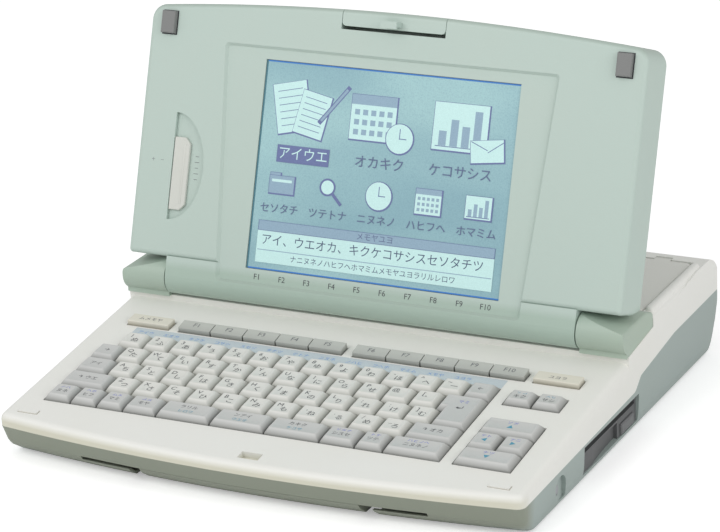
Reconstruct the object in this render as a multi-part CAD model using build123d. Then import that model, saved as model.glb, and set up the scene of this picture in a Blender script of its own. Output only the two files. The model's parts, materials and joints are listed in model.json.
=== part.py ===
from build123d import *
import os
from math import cos, radians, sin, tan

# Portable word processor: a keyboard base with a disk drive and a printer at the back,
# and a display lid on a barrel hinge.  Millimetres, +Z up, X across, Y from front to back.
# The origin is on the surface the machine stands on, under the middle of its case.

# ---------------------------------------------------------------- case
case_width = 378.0          # at the seam between the two half shells
case_depth = 365.0          # middle of the front edge to the rear wall
front_y = -case_depth / 2
rear_y = case_depth / 2
front_bow = 14.0            # how far the middle of the front edge stands ahead of its corners
corner_radius = 6.0         # of the front corners seen from above
rear_corner_radius = 4.0
rim_radius = 5.0            # of the deck's outer edge
shell = 2.5                 # wall of every moulded shell
foot_height = 2.0           # the floor of the case stands this far off the table
front_taper = 16.0          # how far the front wall leans in towards the table
side_taper = 2.0
rear_taper = 16.0
seam_front = 23.2           # height of the shell seam at the front
seam_rear = 43.5            # and at the rear wall
seam_points = ((front_y, seam_front), (20.5, 27.5), (31.0, 35.4), (94.0, 42.5), (rear_y, seam_rear))
seam_turn_radius = 7.0
front_curve = ((7.3, 0.52), (9.4, 0.40), (11.7, 0.30))  # heights, and shares of the taper

# ---------------------------------------------------------------- deck and rear
deck_tilt = 6.4             # degrees, the deck rises to the back
deck_height = 34.7          # deck above the table at the front edge of the keys
keys_from_front = 39.0      # front edge of the case to the front edge of the keys
ledge_height = 4.4          # step up from the deck to the shelf under the hinge barrel
ledge_ahead = 5.2           # the step lies this far ahead of the hinge axis
rear_height = 66.5          # seat of the printer cover, behind the hinge
rear_top_radius = 23.0      # rounding between the case's top and its rear wall
shoulder_radius = 5.0       # rounding along the sides of that top
bead_width = 6.4            # rounded rail along each side of the printer cover
bead_height = 2.8           # above the case's top
bead_radius = 3.1
bead_length = 92.0
pad_size = (14.0, 4.0)      # raised pads on the deck that the lid's bumpers meet
pad_height = 0.8

# ---------------------------------------------------------------- keys
key_pitch = 20.0
row_pitch = 19.75
key_gap = 1.0               # between neighbouring key skirts
key_rise = 4.6              # key tops above the deck
key_skirt = 4.5             # key skirts below the deck
key_lip = 0.4               # upright part of the skirt above the deck
key_slope = 2.9             # how far each side of a key leans in towards its top
key_corner = 1.6
key_dish = 0.6              # depth of the hollow in a key top
opening_gap = 0.8           # between a key and the edge of its opening
keys_offset = 1.2           # the first key's left side lies this far right of its nominal place
cluster_gap = 8.6           # between the main block and the cursor keys
function_row = 112.0        # front edge of the function keys behind the front row's
function_pitch = 25.2
function_depth = 11.0
function_gap = 0.8
function_left = 41.2        # first function key right of the block's left side
function_group_gap = 7.6    # between the fifth and the sixth function key
function_front_rise = 3.2
function_rear_rise = 4.4
end_key_width = 33.0        # wide keys at the two ends of the function row
end_key_depth = 11.5
end_key_rise = 3.6
edit_row = 79.2             # front edge of the insert and delete keys
edit_depth = 17.5
stem_size = 5.0
stem_clearance = 0.3
stem_below_plate = 1.5

# ---------------------------------------------------------------- keyboard inside
plate_drop = 8.5            # keyboard plate below the deck
plate_thickness = 1.2
plate_margin = 6.0          # plate beyond the key block
circuit_gap = 5.5           # keyboard circuit below the plate
board_thickness = 1.6
post_radius = 2.8
post_spacing = 96.0

# ---------------------------------------------------------------- lid hinge
hinge_from_deck = 17.8      # hinge axis above the deck
hinge_back = 159.1          # hinge axis behind the front edge of the keys, along the deck
barrel_radius = 12.7
barrel_length = 308.6
barrel_wall = 3.5
barrel_gap = 0.7            # between the barrel and the trough under it
hinge_gap = 0.8             # between the barrel's ends and the hinge covers
barrel_end = 26.0           # solid end of the barrel that runs on the pin
cover_radius = 12.4         # front rounding of the hinge covers
cover_outer = 188.6         # outer end of the hinge covers from the middle
cover_rear = 54.5           # rear end of the hinge covers
cover_rear_z = 71.6         # their top at that end
cover_flat_z = 80.4         # level part of their top, at the inner end
cover_flat_rear = 28.5
cover_outer_z = 74.8        # and how low the top has sloped at the outer end
cover_end_radius = 2.0
pin_radius = 4.0
pin_reach = 24.0            # pin inside the barrel
pin_clearance = 0.05
bracket_radius = 6.0
bracket_width = 9.0
bracket_foot = 2.0

# ---------------------------------------------------------------- lid
lid_lean = 19.2             # degrees the open lid leans back from upright
lid_width = 370.6
lid_draft = 2.3             # the lid's back is wider than its front by this on each side
lid_bottom = 13.0           # lower edge of the lid's wings above the hinge axis
lid_corner_height = 187.4   # top edge of the lid above the hinge axis at its corners
lid_bow = 8.8               # and how much higher it is in the middle
lid_corner_radius = 11.0
lid_foot_radius = 2.5
lid_edge_radius = 3.5
lid_thickness = 29.0        # at its edges
lid_bulge = 4.0             # of its back in the middle
lid_split = -4.0            # seam of the lid's two shells, ahead of the hinge axis
panel_depth = 2.1           # the area round the screen lies this far behind the lid's front
panel_top = 165.5           # upper edge of that area above the hinge axis
panel_bottom = 1.2
panel_half_top = 124.8
panel_half_bottom = 114.1
panel_radius = 2.5
panel_slope = 1.6           # width of the slanted step round it
screen_width = 190.7
screen_height = 144.7
screen_bottom = 12.2        # lower edge of the screen above the hinge axis
screen_offset = 2.35        # the screen's centre lies this far right of the lid's
glass_recess = 0.8
glass_gap = 0.25
module_margin = 6.0
module_thickness = 9.0
inverter_x = 134.0          # left side of the backlight's inverter board
inverter_h = 60.0           # its lower edge above the hinge axis
inverter_width = 30.0
inverter_length = 70.0
inverter_gap = 1.5          # board behind the lid's front wall

# ---------------------------------------------------------------- on the lid
latch_width = 77.0
latch_height = 11.6
latch_depth = 18.0
latch_corner = 3.0
latch_gap = 0.4             # round the latch
latch_travel = 2.0
latch_x = 1.3
hook_width = 12.0
hook_thickness = 3.6
hook_reach = 8.6            # hook tip ahead of the lid's front
hook_below_top = 8.0        # hook below the top edge of the lid
hook_nose = 1.2
catch_width = 15.0
catch_depth = 8.0
catch_shift = 1.7           # middle of the catch behind the hook of the shut lid
catch_floor = 4.6           # depth of the catch cup below the deck
catch_wall = 1.5
recess_length = 75.0        # finger recess of the display slider
recess_width = 25.0
recess_depth = 2.6
recess_left = -157.6        # straight edge of that recess from the lid's middle
recess_centre = 76.5        # middle of the recess above the hinge axis
slider_width = 12.4
slider_length = 51.0
slider_centre = 71.5
slider_height = 2.2
slider_travel = 8.0
slider_stem = 8.0
bumper_size = (10.6, 15.6)
bumper_x = 170.0
bumper_height = 176.0       # middle of the bumpers above the hinge axis
bumper_proud = 4.0
bumper_seat = 1.4

# ---------------------------------------------------------------- disk drive
drive_length = 96.0         # opening in the right wall
drive_height = 19.4
drive_front = -69.0
drive_depth = 118.0
bezel_thickness = 6.0
bezel_set_back = 2.6        # bezel behind the seam's width
slot_length = 90.0
slot_height = 4.8
slot_above = 12.6           # lower edge of the disk slot above the bezel's lower edge
disk_depth = 96.0
spindle_radius = 12.0
spindle_height = 1.6
eject_length = 22.0
eject_height = 7.5
eject_place = 67.0          # near end of the button behind the bezel's near end
eject_above = 0.9
eject_proud = 1.6
eject_travel = 1.4
eject_stem = 10.0
scoop_length = 43.0         # finger scoop in the bezel, deepest at its far end
scoop_depth = 2.6
part_gap = 0.4              # running clearance of small moving parts

# ---------------------------------------------------------------- handle, switch, inlet, feet
handle_width = 158.0
handle_height = 7.0
handle_bar = 16.0
handle_arm = 14.0
handle_reach = 84.0         # front of the bar to the rear end of the arms
handle_travel = 42.0
handle_lug = 3.0
handle_notch = 9.0          # finger room beside the handle
slit_end = 125.0            # slits in the front wall beside the handle reach this far out
slit_height = 3.0
guide_width = 2.4
guide_length = 16.0
guide_from_front = 18.0     # guides behind the handle bar's front
switch_front = 64.0         # in the left wall, ahead of the inlet
switch_length = 20.0
switch_height = 13.0
switch_above = 4.5          # above the floor of the case
switch_recess = 3.0
switch_backing = 2.0
knob_length = 7.0
knob_height = 8.0
knob_proud = 2.0
knob_stem = 5.0
switch_travel = 4.0
inlet_front = 96.0
inlet_length = 26.0
inlet_height = 18.0
inlet_depth = 20.0
inlet_above = 8.0
inlet_wall = 2.0
niche_front = -117.0        # slanted niche in the right wall, with a screw in it
niche_rear = -99.5
niche_low = 4.0
niche_high = 21.0
niche_depth = 3.0
niche_surface = 0.6         # the wall has leaned in this far at half the niche's height
niche_backing = 11.0
niche_screw = (-113.0, 13.0)
foot_radius = 9.0
foot_seat = 1.0             # depth of the round seat each foot sits in
foot_x = 165.0
foot_front = -140.0
foot_rear = 145.0
screw_places = ((178.0, -142.0), (178.0, 40.0), (178.0, 150.0))
screw_head = 3.0
screw_head_height = 2.0
screw_radius = 1.4
screw_reach = 9.0           # screw above the seam
boss_radius = 4.0

# ---------------------------------------------------------------- printer
cover_thickness = 4.4
cover_skin = 2.4
cover_front = 55.0
cover_width = 360.0
cover_side_gap = 1.2        # between the cover and the case at each side
cover_axis_y = 156.0
cover_rear_gap = 3.2        # cover plate ahead of its hinge axis
cover_lip = 6.0
knuckle_width = 12.0
knuckle_x = 158.0
knuckle_pin_radius = 1.2
cover_pin_reach = 4.0       # pins moulded on both sides of each knuckle
strip_depth = 12.0          # strip of the case behind the cover that holds the paper slot
strip_ahead = 2.0           # its front ahead of the cover's hinge axis
paper_slot_length = 250.0
paper_slot_depth = 7.0
bay_width = 312.0
bay_front = 64.0
bay_rear = 146.0
frame_width = 300.0
frame_plate = 1.5
frame_base = 31.0
frame_post = 3.0
platen_radius = 9.0
platen_length = 270.0
platen_y = 122.0
platen_z = 50.0
shaft_radius = 3.0
shaft_clearance = 0.05
gear_radius = 12.0
gear_teeth = 24
pinion_teeth = 10
tooth_height = 0.8
gear_width = 4.0
gear_side_gap = 0.5
motor_radius = 12.0
motor_length = 22.0
motor_shaft_radius = 1.5
rail_radius = 4.0
rail_y = 86.0
rail_z = 42.0
carriage_width = 46.0
carriage_depth = 30.0
carriage_height = 14.0
carriage_clearance = 0.05
ribbon_height = 6.0
ribbon_width = 60.0
ribbon_depth = 24.0
belt_y = 68.0
belt_thickness = 1.0
belt_width = 5.0
belt_above_plate = 4.0
pulley_radius = 6.0

# ---------------------------------------------------------------- derived places
floor_top = foot_height + shell
key_y = front_y + keys_from_front
tilt = radians(deck_tilt)
lean = radians(lid_lean)
tall = 2 * rear_height
deck = Plane(origin=(0, key_y, deck_height), x_dir=(1, 0, 0), z_dir=(0, -sin(tilt), cos(tilt)))
hinge = deck.from_local_coords(Vector(0, hinge_back, hinge_from_deck))
lid = Plane(origin=hinge, x_dir=(1, 0, 0), z_dir=(0, -cos(lean), sin(lean)))
lid_front_d = barrel_radius
lid_back_d = lid_front_d - lid_thickness
lid_top = lid_corner_height + lid_bow
key_left = -8.5 * key_pitch + keys_offset
block_width = 14.5 * key_pitch
key_right = key_left + block_width
cluster_left = key_right + cluster_gap
barrel_half = barrel_length / 2
cover_inner = barrel_half + hinge_gap
cover_top_z = rear_height + cover_thickness
wall_x = case_width / 2

nodes = {}


def deck_z(y):
    """Height of the deck above the table at the place y."""
    return deck_height + (y - key_y) * tan(tilt)


def seam_z(y):
    """Height of the shell seam at the place y."""
    for (y0, z0), (y1, z1) in zip(seam_points, seam_points[1:]):
        if y <= y1:
            return z0 + (z1 - z0) * (y - y0) / (y1 - y0)
    return seam_rear


def across(face, half_width):
    """A solid of constant section across the machine, from a face drawn in Y and Z."""
    return extrude(Plane.YZ * face, half_width, both=True)


def block(x0, x1, y0, y1, z0, z1):
    """A rectangular block between two opposite corners."""
    return Pos((x0 + x1) / 2, (y0 + y1) / 2, (z0 + z1) / 2) * Box(x1 - x0, y1 - y0, z1 - z0)


def rod(x0, x1, y, z, radius):
    """A round bar that runs across the machine."""
    return Pos((x0 + x1) / 2, y, z) * Rot(0, 90, 0) * Cylinder(radius, x1 - x0)


def post(x, y, z0, z1, radius):
    """An upright round post."""
    return Pos(x, y, (z0 + z1) / 2) * Cylinder(radius, z1 - z0)


def pair(shape):
    """A shape and its twin on the other side of the middle plane, as one sum."""
    return Part() + [shape, mirror(shape, Plane.YZ)]


def on_deck(shape):
    """Moves a shape drawn in the deck's own axes to its place."""
    return deck.location * shape


def on_lid(shape):
    """Moves a shape drawn in the open lid's own axes to its place."""
    return lid.location * shape


def group(shapes):
    """Separate solids kept together in one node."""
    solids = []
    for shape in shapes:
        solids += shape.solids()
    return Compound(children=solids)


# ---------------------------------------------------------------- the case as one solid


def outline(inset, inward=0.0):
    """The case seen from above; inward is the share of the taper that its walls have taken."""
    half = wall_x - inset - inward * side_taper
    front = front_y + inset + inward * front_taper
    rear = rear_y - inset
    edges = Polyline((-half, front + front_bow), (-half, rear), (half, rear), (half, front + front_bow))
    edges += ThreePointArc((half, front + front_bow), (0, front), (-half, front + front_bow))
    face = make_face(edges)
    face = fillet(face.vertices().sort_by(Axis.Y)[:2], corner_radius - inset)
    return fillet(face.vertices().sort_by(Axis.Y)[-2:], rear_corner_radius - inset)


def walls(inset):
    """Everything inside the side walls, which lean in below the seam."""
    stages = ((foot_height, 1.0),) + front_curve + ((seam_front, 0.0),)
    leaning = loft([Pos(0, 0, z) * outline(inset, share) for z, share in stages], ruled=True)
    upright = Pos(0, 0, seam_front) * extrude(outline(inset), tall)
    return leaning + upright


def top_height(inset):
    """The case's top, or the ceiling of its hollow, which stays under the printer cover's seat."""
    return cover_top_z if inset == 0 else rear_height - inset


def envelope(inset):
    """Side view of the case's floor, rear wall and highest top."""
    rear = rear_y - inset
    top = top_height(inset)
    low = foot_height + inset
    radius = rear_top_radius - (cover_top_z - top)
    path = FilletPolyline(
        (front_y - 1, low), (rear - rear_taper, low), (rear, seam_rear), (rear, top),
        (front_y - 1, top), radius=[4.0, 4.0, radius])
    return across(make_face(path + Line((front_y - 1, top), (front_y - 1, low))), case_width)


def deck_body(inset):
    """Everything under the deck, with the rim rounded over."""
    cut = make_face(Polyline((-keys_from_front - 9, -tall), (case_depth, -tall),
                             (case_depth, -inset), (-keys_from_front - 9, -inset),
                             (-keys_from_front - 9, -tall)))
    below = on_deck(across(cut, case_width))
    body = walls(inset) & below
    top = body.faces().sort_by(Axis((0, 0, 0), deck.z_dir))[-1]
    return fillet(top.edges(), rim_radius - inset)


def shelf_body(inset):
    """The low shelf that the hinge stands on."""
    front = hinge_back - ledge_ahead + inset
    shelf = make_face(Polyline((front, -tall), (case_depth, -tall), (case_depth, ledge_height - inset),
                               (front, ledge_height - inset), (front, -tall)))
    return walls(inset) & on_deck(across(shelf, case_width))


def rear_body(inset):
    """The high rear of the case, with rounded shoulders, and its middle up to the barrel."""
    half = wall_x - inset
    top = top_height(inset)
    ends = FilletPolyline((-half, 0), (-half, top), (half, top), (half, 0),
                          radius=shoulder_radius - inset / 2)
    front_view = make_face(ends + Line((half, 0), (-half, 0)))
    front = cover_rear + inset
    shoulders = Pos(0, (front + rear_y) / 2, 0) * extrude(Plane.XZ * front_view, (rear_y - front) / 2,
                                                          both=True)
    middle = block(-cover_inner + inset, cover_inner - inset, hinge.Y, cover_rear + 2 * shell, 0, top)
    trough = rod(-case_width, case_width, hinge.Y, hinge.Z, barrel_radius + barrel_gap + inset)
    return walls(inset) & (shoulders + (middle - trough))


def case_solid(inset):
    """The whole case, moved in by the inset all round."""
    return (deck_body(inset) + shelf_body(inset) + rear_body(inset)) & envelope(inset)


def below_seam():
    """Everything under the seam of the case's two shells."""
    start = (front_y - 9, seam_z(front_y - 9))
    end = (rear_y + 9, seam_rear)
    path = FilletPolyline(start, *seam_points[1:-1], end, radius=seam_turn_radius)
    path += Polyline(end, (rear_y + 9, -9), (front_y - 9, -9), start)
    return across(make_face(path), case_width)


outside = case_solid(0)
inside = case_solid(shell)
hollow_case = outside - inside
under = below_seam()
upper = hollow_case - under
lower = hollow_case & under

# ---------------------------------------------------------------- key places


def key_place(row, start, width):
    """Left, right, front and rear of a key in the deck's own axes."""
    left = key_left + start * key_pitch
    front = row * row_pitch
    return (left, left + width * key_pitch, front, front + row_pitch)


def row_places(row, start, widths):
    """Places of neighbouring keys in one row."""
    places = []
    for width in widths:
        places.append(key_place(row, start, width))
        start += width
    return places


def function_places(first, left):
    """Places of five function keys."""
    front = function_row
    return [(left + i * function_pitch, left + (i + 1) * function_pitch, front, front + function_depth)
            for i in range(first, first + 5)]


enter_places = [key_place(2, 13.25, 1.25), key_place(3, 13.0, 1.5)]
tops = {
    "keys_number_row": row_places(4, 0.5, [1] * 13),
    "keys_q_row": row_places(3, 1, [1] * 12),
    "keys_a_row": row_places(2, 1.25, [1] * 12),
    "keys_z_row": row_places(1, 1.75, [1] * 11),
    "backspace_key": row_places(4, 13.5, [1]),
    "tab_key": row_places(3, 0, [1]),
    "caps_key": row_places(2, 0, [1.25]),
    "shift_left_key": row_places(1, 0, [1.75]),
    "shift_right_key": row_places(1, 12.75, [1.75]),
    "bottom_left_keys": row_places(0, 0, [1, 1, 1, 1.25]),
    "bottom_wide_keys": row_places(0, 4.25, [2, 2, 2]),
    "bottom_right_keys": row_places(0, 10.25, [1.25, 1, 2]),
}
arrow_pitch = (row_pitch * 5 - edit_depth - 3) / 4
arrows = {
    "arrow_down_key": (cluster_left, cluster_left + 2 * key_pitch, 0, arrow_pitch),
    "arrow_left_key": (cluster_left, cluster_left + key_pitch, arrow_pitch, 2 * arrow_pitch),
    "arrow_right_key": (cluster_left + key_pitch, cluster_left + 2 * key_pitch,
                        arrow_pitch, 2 * arrow_pitch),
    "arrow_up_key": (cluster_left, cluster_left + 2 * key_pitch, 2 * arrow_pitch, 3 * arrow_pitch),
    "insert_key": (cluster_left, cluster_left + key_pitch, edit_row, edit_row + edit_depth),
    "delete_key": (cluster_left + key_pitch, cluster_left + 2 * key_pitch,
                   edit_row, edit_row + edit_depth),
}
for name, place in arrows.items():
    tops[name] = [place]
function_start = key_left + function_left
function_keys = function_places(0, function_start)
function_keys += function_places(5, function_start + function_group_gap)
end_keys = {
    "menu_key": (key_left + 0.8, key_left + 0.8 + end_key_width,
                 function_row, function_row + end_key_depth),
    "recall_key": (cluster_left + 7.8, cluster_left + 7.8 + end_key_width,
                   function_row, function_row + end_key_depth),
}


def grown(place, margin):
    """A rectangle larger than a key's place by a margin on every side."""
    left, right, front, rear = place
    return Pos((left + right) / 2, (front + rear) / 2) * Rectangle(
        right - left + 2 * margin, rear - front + 2 * margin)


def footprint(place, gap, inset):
    """A key's outline, moved in from the skirt by the inset."""
    left, right, front, rear = place
    return Pos((left + right) / 2, (front + rear) / 2) * RectangleRounded(
        right - left - gap - 2 * inset, rear - front - gap - 2 * inset, key_corner)


def stem(place):
    """The square stem that guides a key in the keyboard plate."""
    left, right, front, rear = place
    low = -plate_drop - plate_thickness - stem_below_plate
    x = (left + right) / 2
    y = (front + rear) / 2
    return block(x - stem_size / 2, x + stem_size / 2, y - stem_size / 2, y + stem_size / 2,
                 low, -key_skirt)


def sculpted_key(place):
    """A key with leaning sides and a hollow top."""
    left, right, front, rear = place
    skirt = Pos(0, 0, -key_skirt) * extrude(footprint(place, key_gap, 0), key_skirt + key_lip)
    cap = loft([Pos(0, 0, key_lip) * footprint(place, key_gap, 0),
                Pos(0, 0, key_rise) * footprint(place, key_gap, key_slope)], ruled=True)
    half = (right - left - key_gap) / 2 - key_slope
    radius = (half * half + key_dish * key_dish) / (2 * key_dish)
    middle = Pos((left + right) / 2, (front + rear) / 2, key_rise - key_dish + radius)
    dish = middle * Rot(90, 0, 0) * Cylinder(radius, row_pitch)
    return skirt + cap - dish + stem(place)


def enter_shape():
    """The tall key that spans two rows, wider in the rear one."""
    low, high = enter_places
    faces = []
    for height, inset in ((-key_skirt, 0), (key_lip, 0), (key_rise, key_slope)):
        edge = key_gap / 2 + inset
        right = low[1] - edge
        corners = [(low[0] + edge, low[2] + edge), (right, low[2] + edge), (right, high[3] - edge),
                   (high[0] + edge, high[3] - edge), (high[0] + edge, high[2] + edge),
                   (low[0] + edge, high[2] + edge)]
        faces.append(Pos(0, 0, height) * make_face(Polyline(corners + [corners[0]])))
    stems = [stem(place) for place in enter_places]
    return loft(faces[:2], ruled=True) + loft(faces[1:], ruled=True) + stems


def sloped_key(place, gap, front_rise, rear_rise):
    """A low key with upright sides and a flat sloping top."""
    left, right, front, rear = place
    side = make_face(Polyline((front + gap / 2, -key_skirt), (rear - gap / 2, -key_skirt),
                              (rear - gap / 2, rear_rise), (front + gap / 2, front_rise),
                              (front + gap / 2, -key_skirt)))
    body = Pos((left + right) / 2, 0, 0) * across(side, (right - left - gap) / 2)
    edges = body.edges().group_by(Axis.Z)[-1] + body.edges().filter_by(Axis.Z)
    return fillet(edges, 0.6) + stem(place)


for name, places in tops.items():
    nodes[name] = group([on_deck(sculpted_key(place)) for place in places])
nodes["enter_key"] = on_deck(enter_shape())
nodes["function_keys"] = group([on_deck(sloped_key(place, function_gap, function_front_rise,
                                                   function_rear_rise)) for place in function_keys])
for name, place in end_keys.items():
    nodes[name] = on_deck(sloped_key(place, function_gap, end_key_rise, end_key_rise))

all_places = enter_places + [place for places in tops.values() for place in places]
all_places += function_keys + list(end_keys.values())

# ---------------------------------------------------------------- keyboard plate and circuit
key_field = Sketch() + [grown(place, opening_gap - key_gap / 2) for place in all_places]
openings = on_deck(Pos(0, 0, -2 * key_skirt) * extrude(key_field, 4 * key_skirt))

plate_left = key_left - plate_margin + 2
plate_right = cluster_left + 2 * key_pitch + plate_margin - 3
plate_front = -plate_margin - 2
plate_rear = function_row + end_key_depth + plate_margin
plate_top = -plate_drop
plate_low = plate_top - plate_thickness
circuit_top = plate_low - circuit_gap
front_posts = (-plate_margin / 2 - 1.5, (5 * row_pitch + function_row) / 2)
post_xs = [-1.5 * post_spacing + i * post_spacing for i in range(4)]
plate = block(plate_left, plate_right, plate_front, plate_rear, plate_low, plate_top)
for left, right, front, rear in all_places:
    hole = stem_size / 2 + stem_clearance
    x = (left + right) / 2
    y = (front + rear) / 2
    plate -= block(x - hole, x + hole, y - hole, y + hole, plate_low - 1, plate_top + 1)
plate_posts = []
deck_posts = []
for y in front_posts:
    for x in post_xs:
        plate_posts.append(post(x, y, circuit_top, plate_low, post_radius))
        deck_posts.append(post(x, y, plate_top, -shell / 2, post_radius))
nodes["keyboard_plate"] = on_deck(plate + plate_posts)
nodes["keyboard_circuit"] = on_deck(block(plate_left + 4, plate_right - 4, plate_front + 1,
                                          plate_rear - 4, circuit_top - board_thickness, circuit_top))

# ---------------------------------------------------------------- drive bay and disk drive
drive_low = floor_top
drive_top = drive_low + drive_height
drive_rear = drive_front + drive_length
bezel_face = wall_x - bezel_set_back
bezel_back = bezel_face - bezel_thickness
drive_opening = block(wall_x - 3 * shell, wall_x + 9, drive_front, drive_rear, drive_low, drive_top)
slot_low = drive_low + part_gap + slot_above
slot_front = drive_front + (drive_length - slot_length) / 2


def disk_space(x0, x1):
    """The space that a disk slides into."""
    return block(x0, x1, slot_front, slot_front + slot_length, slot_low, slot_low + slot_height)


bezel = block(bezel_back, bezel_face, drive_front + part_gap, drive_rear - part_gap,
              drive_low, drive_top - part_gap)
bezel -= disk_space(bezel_back - 1, bezel_face + 1)
eject_y0 = drive_front + eject_place
eject_z0 = drive_low + eject_above
eject_z1 = eject_z0 + eject_height
eject_mid_y = eject_y0 + eject_length / 2
eject_mid_z = eject_z0 + eject_height / 2
bezel -= block(bezel_back - 1, bezel_face + 1, eject_y0 - part_gap, eject_y0 + eject_length + part_gap,
               eject_z0 - part_gap, eject_z1 + part_gap)
scoop_end = eject_y0 - 5
scoop_radius = (scoop_length ** 2 + scoop_depth ** 2) / (2 * scoop_depth)
scoop = Pos(bezel_face + scoop_radius - scoop_depth, scoop_end, 0) * Cylinder(scoop_radius, tall)
scoop &= block(bezel_back, bezel_face + 1, drive_front, scoop_end, drive_low, slot_low - 1.5)
nodes["drive_bezel"] = bezel - scoop

drive_left = bezel_back - drive_depth
drive = block(drive_left, bezel_back, drive_front + 1, drive_rear - 1, drive_low, drive_top - part_gap)
drive -= disk_space(bezel_back - disk_depth, bezel_back + 1)
spindle_x = bezel_back - disk_depth / 2
spindle_y = (drive_front + drive_rear) / 2
spindle_floor = slot_low - spindle_height
drive -= post(spindle_x, spindle_y, spindle_floor - part_gap, slot_low + 1, spindle_radius + part_gap)
drive -= post(spindle_x, spindle_y, spindle_floor - 4, spindle_floor, shaft_radius + shaft_clearance)
drive -= block(bezel_back - eject_stem - part_gap, bezel_back + 1,
               eject_y0 + 2 - part_gap, eject_y0 + eject_length - 2 + part_gap,
               eject_z0 + 1 - part_gap, eject_z1 - 1 + part_gap)
nodes["floppy_drive"] = drive
nodes["drive_spindle"] = post(spindle_x, spindle_y, spindle_floor, slot_low - 0.3, spindle_radius) \
    + post(spindle_x, spindle_y, spindle_floor - 3.6, spindle_floor + 0.5, shaft_radius)
button_back = bezel_back + eject_travel + part_gap
button = block(button_back, bezel_face + eject_proud, eject_y0, eject_y0 + eject_length,
               eject_z0, eject_z1)
button = chamfer(button.faces().sort_by(Axis.X)[-1].edges(), 0.8)
nodes["eject_button"] = button + block(bezel_back - eject_stem + eject_travel, button_back + 1,
                                       eject_y0 + 2, eject_y0 + eject_length - 2,
                                       eject_z0 + 1, eject_z1 - 1)

# ---------------------------------------------------------------- carrying handle
handle_low = floor_top + part_gap
handle_top = handle_low + handle_height
handle_front = front_y + front_taper
handle_half = handle_width / 2
arm_inner = handle_half - handle_arm
arm_rear = handle_front + handle_reach
slot_half = handle_half + handle_notch
handle_mouth = block(-slot_half, slot_half, front_y - 9, handle_front + handle_bar + 2 * part_gap,
                     0, handle_top + part_gap)
guides = []
for side in (-1, 1):
    for edge in (arm_inner - part_gap - guide_width / 2, handle_half + part_gap + guide_width / 2):
        x = side * edge
        guide_front = handle_front + guide_from_front
        guides.append(block(x - guide_width / 2, x + guide_width / 2, guide_front,
                            guide_front + guide_length, floor_top - 1, handle_top))
slit_top = handle_top + part_gap
slits = pair(block(slot_half - 1, slit_end, front_y - 9, front_y + 9 * shell, slit_top - slit_height,
                   slit_top))
bar_space = block(-handle_half, handle_half, front_y, handle_front + handle_bar, 0, handle_top)
bar = case_solid(part_gap) & bar_space
arm = block(arm_inner, handle_half, handle_front + handle_bar / 2, arm_rear, handle_low, handle_top)
stop_y = handle_front + guide_from_front + guide_length + handle_travel
lug = block(handle_half - 1, handle_half + part_gap + handle_lug, stop_y + part_gap,
            arm_rear, handle_low, handle_top)
nodes["carry_handle"] = bar + pair(arm + lug)

# ---------------------------------------------------------------- power switch and inlet
switch_z0 = foot_height + switch_above
switch_z1 = switch_z0 + switch_height
switch_rear = switch_front + switch_length
switch_floor = wall_x - side_taper - switch_recess
switch_back = switch_floor - switch_backing
switch_box = block(switch_back, wall_x + 9, switch_front - 2, switch_rear + 2, switch_z0 - 2,
                   switch_z1 + 2)
switch_hollow = block(switch_floor, wall_x + 9, switch_front, switch_rear, switch_z0, switch_z1)
knob_y = switch_front + 3.0
switch_mid_z = (switch_z0 + switch_z1) / 2
switch_slot = block(switch_back - 1, switch_floor + 1, knob_y + (knob_length - knob_stem) / 2 - part_gap,
                    knob_y + (knob_length + knob_stem) / 2 + switch_travel + part_gap,
                    switch_mid_z - 1.5 - part_gap, switch_mid_z + 1.5 + part_gap)
knob = block(switch_floor + 0.3, switch_floor + 0.3 + knob_proud, knob_y, knob_y + knob_length,
             switch_mid_z - knob_height / 2, switch_mid_z + knob_height / 2)
knob += block(switch_back - 3, switch_floor + 1, knob_y + (knob_length - knob_stem) / 2,
              knob_y + (knob_length + knob_stem) / 2, switch_mid_z - 1.5, switch_mid_z + 1.5)
switch_box, switch_hollow, switch_slot, knob = [
    mirror(shape, Plane.YZ) for shape in (switch_box, switch_hollow, switch_slot, knob)]
nodes["power_switch"] = knob

inlet_z0 = foot_height + inlet_above
inlet_z1 = inlet_z0 + inlet_height
inlet_rear = inlet_front + inlet_length
inlet_left = -wall_x + side_taper
inlet = block(inlet_left, inlet_left + inlet_depth, inlet_front, inlet_rear, inlet_z0, inlet_z1)
inlet -= block(inlet_left - 1, inlet_left + inlet_depth - inlet_wall, inlet_front + inlet_wall,
               inlet_rear - inlet_wall, inlet_z0 + inlet_wall, inlet_z1 - inlet_wall)
blade_z = (inlet_z0 + inlet_z1) / 2
for y in (inlet_front + 9.5, inlet_rear - 9.5):
    inlet += rod(inlet_left + 4, inlet_left + inlet_depth - 1, y, blade_z, 1.2)
nodes["power_inlet"] = inlet
inlet_hole = block(-wall_x - 9, -wall_x + 3 * shell, inlet_front, inlet_rear, inlet_z0, inlet_z1)

# ---------------------------------------------------------------- niche in the right wall
niche_x = wall_x - niche_surface
niche_radius = (niche_rear - niche_front) / 2
niche_plan = make_face(Polyline((wall_x + 9, niche_front), (niche_x, niche_front),
                                (niche_x - niche_depth, niche_rear), (wall_x + 9, niche_rear),
                                (wall_x + 9, niche_front)))
niche_arch = Pos(niche_front + niche_radius, niche_high - niche_radius) * Circle(niche_radius)
niche_arch += make_face(Polyline((niche_front, niche_low), (niche_rear, niche_low),
                                 (niche_rear, niche_high - niche_radius),
                                 (niche_front, niche_high - niche_radius), (niche_front, niche_low)))
niche = Pos(0, 0, niche_low) * extrude(niche_plan, niche_high - niche_low)
niche &= across(niche_arch, case_width)
niche_box = block(wall_x - niche_backing, wall_x + 9, niche_front - 2, niche_rear + 2, floor_top - 1,
                  niche_high + 2)
screw_seat = niche_x - niche_depth * (niche_screw[0] - niche_front) / (2 * niche_radius) - 1.5
niche_fixing = rod(screw_seat, screw_seat + 1.3, *niche_screw, screw_head)
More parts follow.
